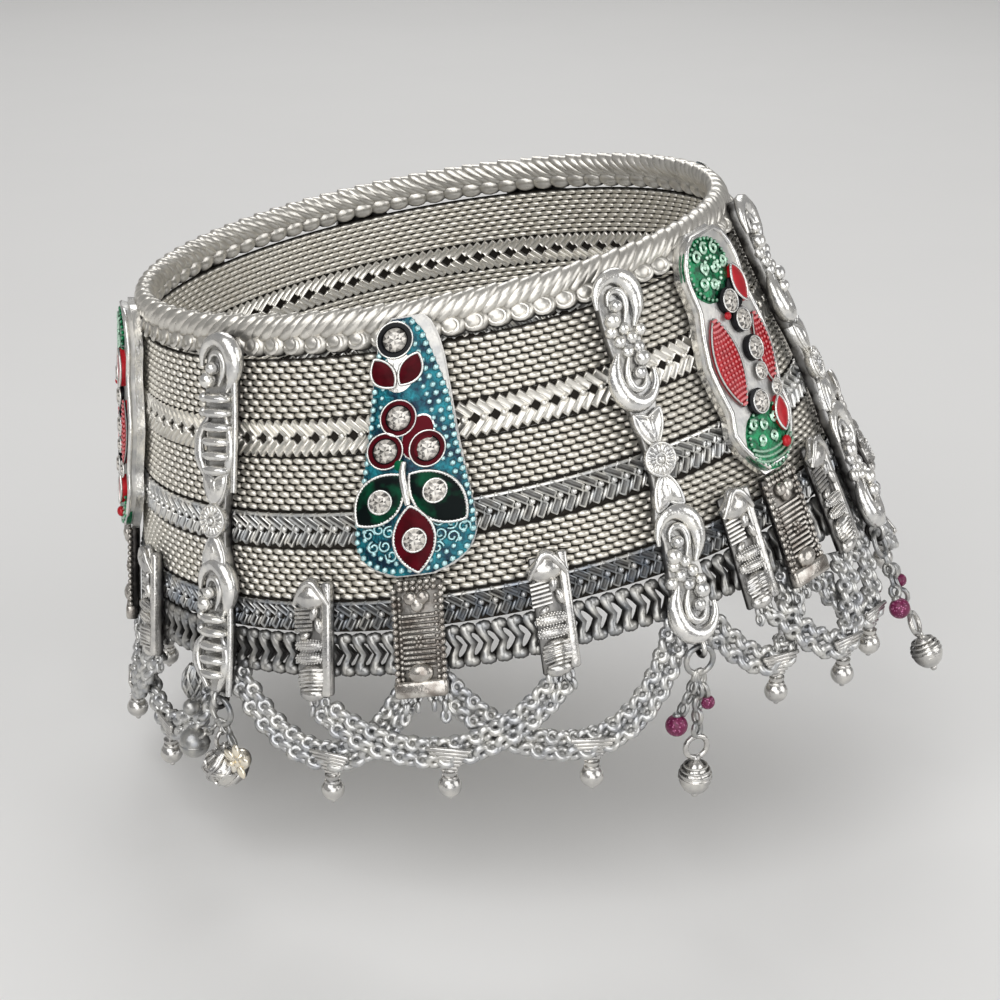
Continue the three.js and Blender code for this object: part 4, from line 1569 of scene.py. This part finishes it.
def gabledRoof():
    roof = ball((-0.2, -2.3, 1.2), (5.6, 4.4, 2.9), segments=12, rings=8)
    edit(roof)
    pickPoints(lambda at: at.y > -1.7)
    stretch((0.55, 1.25, 0.8), (0, -1.7, 0.9))
    finishEdit()
    edge = [(-2.7, -3.6, 1.6), (-1.5, -1.9, 2.1), (0, -0.5, 2.2), (1.6, -1.9, 2.2), (2.7, -3.6, 1.8)]
    return [roof, wire(edge, 0.5, widths=(0.7, 1, 1.1, 1, 0.7), sides=8)]


def knurledRoll(y):
    knurls = []
    for row in range(5):
        angle = math.radians(5 + 34 * row)
        for number in range(10):
            x = -2.1 + 0.43 * number + 0.2 * (row % 2)
            thick = math.sqrt(max(0, 1 - (x / 2.5) ** 2))
            up, out = 0.83 * thick * math.cos(angle), 0.93 * thick * math.sin(angle)
            knurls.append((x - 0.2, y + up, 1.35 + out))
    return [ball((-0.2, y, 1.35), (4.9, 1.7, 1.9), segments=14, rings=10),
            beads((0.36, 0.36, 0.36), knurls, segments=5, rings=3)]


def sideLinkMaster():
    # a gabled roof over a row of ribs, two knurled rolls and a ribbed dome
    parts = [block((-0.1, -8.9, 0.4), (4.6, 16.2, 0.9), soften=0.25),
             block((2.35, -8.6, 0.85), (1.5, 16.2, 2.0), soften=0.45, steps=2)]
    parts += gabledRoof() + knurledRoll(-9.5) + knurledRoll(-11.3) + castForms(sideForms)
    for number in range(6):
        parts.append(rod((-1.25, -4.3 - 0.6 * number, 1.35), 0.25, 2.9, turn=(0, 90, 4), sides=6))
        y = -12.9 - 0.55 * number
        reach = 2.2 * math.sqrt(max(0.1, 1 - ((y + 14.0) / 2.4) ** 2))
        rib = [(0.1 - reach, y - 0.2, 1.5), (0.1, y + 0.2, 2.5), (0.1 + reach, y + 0.1, 1.5)]
        parts.append(wire(rib, 0.22, sides=6))
    cast = silverPart(rounded(joined(parts), 50), 0.6, 1.7, linkSilver)
    return joined([cast, shortChains([(1.3, -14), (-0.2, 10)], -17.0, 2.6)])


def middleLinkMaster():
    # beaded edges round ribs, leaves and a small flower, over a foot
    parts = [block((0, -8.3, 0.6), (7.0, 15.6, 1.2), soften=0.3),
             block((0, -15.4, 1.15), (7.6, 2.4, 2.0), soften=0.5, steps=2)]
    parts += castForms(middleForms)
    for side in (-1, 1):
        outer = [(side * 3.35, -1.6 - 0.95 * number, 1.35) for number in range(14)]
        inner = [(side * 2.6, -2.7 - 0.8 * number, 1.3) for number in range(15)]
        crest = [(side * (0.5 + 0.95 * number), -0.6 - 0.85 * row, 1.3)
                 for row in range(2) for number in range(3)]
        parts += [beads((0.95, 0.95, 0.95), outer, segments=8, rings=6), beads((0.7, 0.7, 0.7), inner),
                  beads((1.0, 0.9, 1.0), crest, segments=8, rings=6)]
    for number in range(11):
        parts.append(rod((0, -5.2 - 0.72 * number, 1.35), 0.27, 4.6, turn=(0, 90, 0), sides=6))
    for turn in range(0, 360, 60):
        x, y = 0.62 * math.cos(math.radians(turn)), 0.62 * math.sin(math.radians(turn))
        parts.append(ball((x, -8.8 + y, 1.75), (0.75, 0.5, 0.5), turn=(0, 0, turn), segments=6, rings=4))
    cast = silverPart(rounded(joined(parts), 50), 0.9, 2.1, brownSilver)
    return joined([cast, shortChains([(-2.6, 6), (2.7, -6), (-2.0, 14)], -16.0, 4.4),
                   shortChains([(-0.9, 2), (1.3, -3)], -16.0, 2.6)])


# festoons: open curb chains side by side, ending in the links, each with a ball drop

swag = {
    "below": 3.2,
    "sag": 10.2,
    "lowShare": 0.545,  # of its length, where it hangs lowest
    "tuck": 0.1,  # of its length, how far its ends go up behind the links
    "width": 4.8,
    "strands": 2,
    "gap": 2.3,
    "pitch": 1.7,
    "linkWide": 2.85,
    "linkLong": 3.0,
    "wire": 0.62,
    "layerOut": 1.9,
    "inset": 3.2,
    "lifts": {"left_bay_1": 2.0, "left_bay_2": 2.4, "right_bay_1": 2.4},  # some hang less low
    "samples": 97,
    "relief": (-0.9, 0.5),
}


def swagPath(start, end, layer, lift):
    # places, outward and sideways directions along a festoon, the distance along it, and its lowest sample
    share = np.linspace(-swag["tuck"], 1 + swag["tuck"], swag["samples"])
    endDepth = band["depth"] + 0.4 + (swag["below"] if layer else 0)
    startDepth = endDepth + swag["width"] / 2
    sag = band["depth"] + swag["below"] + swag["sag"] - lift - startDepth
    low = swag["lowShare"]
    away = (share - low) / np.where(share < low, low, 1 - low)
    depth = startDepth + sag * (1 - away ** 2)
    line = start + (end - start) * share
    degrees = line + swag["inset"] * (1 - 2 * share) / arcPerDegree(line, depth)
    tucked = np.clip(np.abs(share - 0.5) - 0.5, 0, None) / swag["tuck"]
    out = layer * swag["layerOut"] - tucked * (0.9 if layer else 0.3)
    points = onBand(degrees, depth, out)
    outward = onBand(degrees, depth, out + 1) - points
    wide = unit(np.cross(outward, unit(np.gradient(points, axis=0))))
    return points, outward, wide, distances(points), int(np.argmin(np.abs(share - low)))


def curbLinks(length):
    # strands of linked rings, each turned the other way from the next
    count, pitch = fitted(length, swag["pitch"])
    pair = []
    for number, lean in enumerate((-34, 34)):
        link = ovalRing(swag["linkLong"] / 2, swag["linkWide"] / 2, swag["wire"])
        link.rotation_euler = turned((lean, 16, 0))
        link.location = (pitch * (number + 0.5), 0, 0)
        pair.append(settle(link))
    strand = rowOf(joined(pair), pitch * 2, math.ceil(count / 2))
    strands = [copied(strand, offset=(pitch * number, swag["gap"] * (number - (swag["strands"] - 1) / 2), 0))
               for number in range(swag["strands"])]
    throwAway(strand)
    return joined(strands)


hangingBall = {
    "out": 0.2,
    "ball": (3.6, 3.5, 3.6),
    "ballDown": 3.0,
    "neck": 0.85,
    "bars": 7,
    "barRadius": 0.42,
    "barPitch": 0.62,
    "topBar": 6.6,
    "taper": 0.85,  # how much shorter each bar is than the one above it
}


def ballDrop():
    # a tapering ribbed end plate, a short neck and a ball, hanging from the festoon's lowest place
    look, out = hangingBall, hangingBall["out"]
    parts = [ball((0, -look["ballDown"], out), look["ball"], segments=18, rings=12),
             rod((0, -1.2, out), look["neck"], 1.4, turn=(-90, 0, 0), sides=10, top=1.2),
             ring((0, -1.6, out), 1.0, 0.3, turn=(90, 0, 0)),
             ball((0.1, -4.85, out), (0.9, 0.8, 0.9), segments=8)]
    for number in range(look["bars"]):
        place = (0, 3.2 - look["barPitch"] * number, 1.0 - 0.1 * number)
        long = look["topBar"] - look["taper"] * number
        parts.append(rod(place, look["barRadius"], long, turn=(0, 90, 0), sides=6, soften=0.1))
    return silverPart(rounded(joined(parts), 60), -2.5, 0.4, linkSilver)


def festoon(name, start, end, layer):
    lift = swag["lifts"].get(name[5:], 0)
    points, outward, wide, distance, middle = swagPath(start, end, layer, lift)
    chain = curbLinks(distance[-1])
    markRelief(chain, *swag["relief"])
    local = readPoints(chain)
    at, right, up = [sampled(line, distance, local[:, 0]) for line in (points, wide, outward)]
    writePoints(chain, (at + right * local[:, 1:2] + up * local[:, 2:3]) * mm)
    dress(rounded(chain, 80), shadedGreySilver)
    drop = ballDrop()
    lowest = points[middle] - [0, 0, swag["width"] / 2]
    outwards = unit(outward[middle] * [1, 1, 0])
    layAlong(drop, lowest, np.cross([0, 0, 1], outwards), np.array([0, 0, 1]), outwards)
    handIn(joined([chain, drop]), name + "_chains", "chain_silver", name)


bayOrder = ["left", "right", "instep", "back", "heel"]
linkShares = [0.25, 0.48, 0.735]  # of each bay


def between(start, end, share):
    # a station at this share of the way from one bar to the next
    return {key: start[key] + (end[key] - start[key]) * share for key in ("at", "turn")}


linkMasters = {"side": sideLinkMaster(), "middle": middleLinkMaster()}
for number, name in enumerate(bayOrder):
    start = stations[name]
    end = dict(stations[bayOrder[(number + 1) % 5]])
    if end["at"] < start["at"]:
        end["at"] += 360
    for index, (kind, share) in enumerate(zip(("side", "middle", "side"), linkShares), 1):
        made = copied(linkMasters[kind])
        layAt(made, between(start, end, share), linkTops[kind])
        handIn(made, f"link_{name}_bay_{index}_cast", "cast_silver", f"link_{name}_bay_{index}")
    first, middle, last = linkShares
    spans = [(0, middle, 0), (first, last, 1), (middle, 1, 0)]  # from, to, layer
    for index, (*shares, layer) in enumerate(spans, 1):
        ends = [lineAt(between(start, end, share), band["depth"]) for share in shares]
        festoon(f"swag_{name}_bay_{index}", *ends, layer)
throwAway(*linkMasters.values())
print("links and festoons made")


# tassels: chains with beads and a bell on a jump ring

tassel = {
    "ring": 2.2,
    "wire": 0.45,
    "strand": 11,
    "sideStrand": 8,
    "turns": (22, -16),  # of the two side strands
    "bead": 3.4,
    "smallBead": 0.66,  # as a share of the other
    "bellRing": 1.5,
    "bell": 2.5,
    "bellLength": 6.6,
    "loopDepth": 56.05,
    "loopOut": 1.8,
}
cluster = {
    "turns": (48, -39),  # of the ball's and the flower's strands
    "ball": 4.9,
    "flower": 2.4,
    "bell": 3.4,
    "bellLength": 7.2,
    "wires": 8,
    "twist": 0.35,  # of a wire from step to step, in radians
}


def turnedPoint(start, distance, turn):
    # distance down from start, turned to the left
    lean = math.radians(turn)
    return start[0] - distance * math.sin(lean), start[1] - distance * math.cos(lean), start[2]


def bellBody(top, radius, length):
    # an egg that narrows upwards, with a ball at each end
    x, y, z = top
    body = ball((x, y - length * 0.5, z), (radius * 2, length * 0.86, radius * 2), segments=16, rings=12)
    edit(body)
    pickPoints(lambda at: at.y > y - length * 0.35)
    stretch((0.72, 1, 0.72), top)
    finishEdit()
    return [body, ball((x, y - 0.2, z), (1.3, 1.3, 1.3)), ball((x, y - length + 0.35, z), (1.1, 1.1, 1.1))]


def ribbedBell(top, radius, length):
    parts = bellBody(top, radius, length)
    x, y, z = top
    for number in range(7):
        share = 0.2 + 0.1 * number
        wide = radius * math.sin(math.pi * min(0.94, share * 0.95 + 0.06)) * 0.98
        parts.append(ring((x, y - length * share, z), wide, 0.2, turn=(90, 0, 0), steps=18))
    return joined(parts)


def wiredBell(top, radius, length):
    # wires wind down the bell, with a curl beside each and a ring round the middle
    parts = bellBody(top, radius, length)
    x, y, z = top
    for number in range(cluster["wires"]):
        angle = 2 * math.pi * number / cluster["wires"]
        path = []
        for step in range(5):
            share, spin = 0.14 + 0.18 * step, angle + cluster["twist"] * step
            wide = radius * math.sin(math.pi * share) ** 0.8 * 1.02
            path.append((x + wide * math.cos(spin), y - length * share, z + wide * math.sin(spin)))
        parts.append(wire(path, 0.3))
        share, spin = 0.36 + 0.28 * (number % 2), angle + cluster["twist"]
        wide = radius * math.sin(math.pi * share) ** 0.8 * 1.04
        curl = [(x + wide * math.cos(spin) - aside * math.sin(spin), y - length * share + up,
                 z + wide * math.sin(spin) + aside * math.cos(spin))
                for aside, up, _ in spiral((0, 0), 0.75, 0.25, 45 * number, 400, 0, steps=7)]
        parts.append(wire(curl, 0.2, steps=2, sides=4))
    parts.append(ring((x, y - length * 0.5, z), radius * 1.02, 0.24, turn=(90, 0, 0), steps=20))
    return joined(parts)


def filigreeDrop(middle, width, length, turn):
    # an oval core wrapped in fine wires that cross each other
    parts = [ball((0, 0, 0), (width * 0.8, length * 0.9, width * 0.8), segments=12, rings=8)]
    for direction in (-1, 1):
        for number in range(7):
            path = []
            for step in range(6):
                share = 0.06 + 0.88 * step / 5
                spin = 2 * math.pi * (number / 7 + direction * 0.3 * share)
                wide = width / 2 * math.sin(math.pi * share) ** 0.7
                path.append((wide * math.cos(spin), length * (0.5 - share), wide * math.sin(spin)))
            parts.append(wire(path, 0.17, steps=2, sides=4))
    made = joined(parts)
    made.rotation_euler = (0, 0, math.radians(turn))
    made.location = middle
    return settle(made)


def flowerBell(place, radius):
    # a small bell made of five open petals round a bud
    x, y, z = place
    parts = [ball(place, (radius * 1.3, radius * 1.5, radius * 1.3), segments=12, rings=8)]
    for number in range(5):
        turn = 72 * number + 90
        angle, out = math.radians(turn), radius * 0.72
        petal = (x + out * math.cos(angle), y + out * math.sin(angle), z + radius * 0.45)
        parts.append(ball(petal, (radius, radius * 0.72, 0.8), turn=(0, 0, turn)))
    parts.append(ball((x, y, z + radius * 0.85), (1.0, 1.0, 0.8)))
    return joined(parts)


def hungCluster():
    # the cluster at the left bar: a wired bell, a smooth ball, a gold-washed flower and a filigree drop
    ballTurn, flowerTurn = cluster["turns"]
    size = cluster["ball"]
    start = (0, -2 * tassel["ring"] + 0.6, 0)
    smooth = turnedPoint(start, 9.6, ballTurn)
    chain = [ovalChain(start, 2.2, 0), ovalChain(start, 7.2, ballTurn), ovalChain(start, 4.6, flowerTurn),
             ball(smooth, (size, size, size), segments=20, rings=14),
             ring(smooth, size / 2, 0.12, turn=(90, 0, 0), steps=24),
             filigreeDrop((-5.9, 1.2, 0.6), 3.3, 6.8, -8),
             ball((-6.6, -3.6, 0.6), (2.7, 2.7, 2.7), segments=12, rings=8)]
    flower = flowerBell(turnedPoint(start, 6.7, flowerTurn), cluster["flower"])
    top = start[1] - 2.2
    bells = [ring((0.2, top - 0.9, 0), tassel["bellRing"], 0.4, turn=(0, 90, 0), steps=16),
             wiredBell((0.2, top - 2.0, 0), cluster["bell"], cluster["bellLength"])]
    return chain, [silverPart(rounded(flower, 60), -1, 1.2, goldWash)], bells


def hungChains():
    # three chains, with a glitter bead on each of the outer ones and a ribbed bell on the middle one
    side, size = tassel["sideStrand"], tassel["bead"]
    turn, otherTurn = tassel["turns"]
    start = (0, -2 * tassel["ring"] + 0.5, 0)
    chain = [ovalChain(start, tassel["strand"], 0, 3.0, 2.4, 0.42),
             ovalChain(start, side - 0.6, turn, 2.8, 2.2, 0.38),
             ovalChain(start, side - 3.2, otherTurn, 2.8, 2.2, 0.38)]
    colours = []
    for (x, y, z), wide in [(turnedPoint(start, side + 1.2, turn), size),
                            (turnedPoint(start, side - 2.2, otherTurn), size * tassel["smallBead"])]:
        bead = ball((x, y, z), (wide, wide, wide), segments=18, rings=12)
        colours.append(dress(rounded(bead, 80), magentaGlitter))
        chain.append(ball((x, y + wide * 0.5, z), (wide * 0.4, wide * 0.3, wide * 0.4)))
    top = start[1] - tassel["strand"] - 0.3
    bells = [ring((0, top - 1.5, 0), tassel["bellRing"] + 0.3, 0.45, steps=18, sides=8),
             ribbedBell((0, top - 3.3, 0), tassel["bell"], tassel["bellLength"])]
    return chain, colours, bells


def layTassel(piece, name, swing):
    # hangs a piece below its bar, swung outwards by swing degrees
    depth, out = tassel["loopDepth"], tassel["loopOut"]
    line = lineAt(stations[name], depth)
    seat, further = onBand(np.full(2, line), np.full(2, depth), np.array([out, out + 1]))
    level = unit((further - seat) * [1, 1, 0])
    lean = math.radians(swing)
    up = np.array([0, 0, math.cos(lean)]) - level * math.sin(lean)
    across = unit(np.cross(up, level))
    layAlong(piece, seat, across, up, np.cross(across, up))


def hangTassel(name, swing, makeHung):
    jumpRing = ring((0, -tassel["ring"], 0), tassel["ring"], tassel["wire"], steps=24, sides=8)
    parts, colours, bells = makeHung()
    # the chains and bells take darker copies of the silver, as painted shade
    chain = silverPart(rounded(joined([jumpRing, *parts]), 80), -1.6, 0.9, edgeSilver)
    bell = silverPart(rounded(joined(bells), 60), -2.2, 2.2, linkSilver)
    chain = joined([chain, *colours])
    for piece, kind, slot in [(chain, "chain", "chain_silver"), (bell, "bell", "cast_silver")]:
        layTassel(piece, name, swing)
        handIn(piece, f"tassel_{name}_{kind}_hung", slot, f"tassel_{name}_{kind}")


hangTassel("left", 0, hungCluster)
for name, swing in [("right", 0), ("instep", 27), ("back", 8), ("heel", 0)]:
    hangTassel(name, swing, hungChains)
print("tassels made")


# floor, light and camera

studio = {
    "floorSize": 8.0,
    "floorGap": 0.0015,
    "floorColour": (0.8, 0.795, 0.785),
    "worldColour": (0.64, 0.635, 0.63),
    "worldStrength": 0.5,
}


def floorPaint():
    paint = Paint("paleFloor")
    patches = paint.noise(60, 3)
    colour = studio["floorColour"]
    return paint.finish({
        "Base Color": paint.mix(patches, colour, tuple(part * 0.97 for part in colour)),
        "Roughness": 0.6,
    })


def paleFloor():
    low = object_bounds()[0][2]
    deselect()
    bpy.ops.mesh.primitive_plane_add(size=studio["floorSize"], location=(0, 0, low - studio["floorGap"]))
    floor = bpy.context.object
    floor.name = "floor"
    settle(floor)
    floor.data.materials.append(floorPaint())
    floor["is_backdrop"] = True


lamps = {
    "key": {"place": (-0.3, -0.5, 0.6), "aim": (0, 0, -0.02), "size": 0.8, "power": 3.4},
    "front": {"place": (0.1, -1.2, 0.25), "aim": (0, 0, -0.02), "size": 1.1, "power": 5.2},
    "side": {"place": (0.8, -0.25, 0.35), "aim": (0, 0, -0.03), "size": 0.8, "power": 2.6},
    "back": {"place": (0.0, 0.8, 0.7), "aim": (0, 0, 0), "size": 0.8, "power": 3.2},
}


def softLamp(name, look):
    deselect()
    bpy.ops.object.light_add(type="AREA", location=look["place"])
    lamp = bpy.context.object
    lamp.name = name
    lamp.data.shape = "DISK"
    lamp.data.size = look["size"]
    lamp.data.energy = look["power"]
    away = Vector(look["place"]) - Vector(look["aim"])
    lamp.rotation_euler = away.to_track_quat("Z", "Y").to_euler()


def studioWorld():
    world = bpy.data.worlds.new("studio")
    world.use_nodes = True
    background = world.node_tree.nodes["Background"]
    background.inputs["Color"].default_value = (*studio["worldColour"], 1)
    background.inputs["Strength"].default_value = studio["worldStrength"]
    bpy.context.scene.world = world


paleFloor()
for lampName, look in lamps.items():
    softLamp(lampName, look)
studioWorld()

view = {
    "place": (0.01196, -0.33244, 0.08409),
    "turn": (68.33, 0, 0),
    "lens": 74.74,
    "sensor": 36,
    "nearest": 0.01,
}
deselect()
bpy.ops.object.camera_add(location=view["place"], rotation=turned(view["turn"]))
camera = bpy.context.object
camera.name = "camera"
camera.data.lens = view["lens"]
camera.data.sensor_width = view["sensor"]
camera.data.clip_start = view["nearest"]
bpy.context.scene.camera = camera
bpy.context.scene.view_settings.view_transform = "Standard"
print("floor, lights and camera ready")
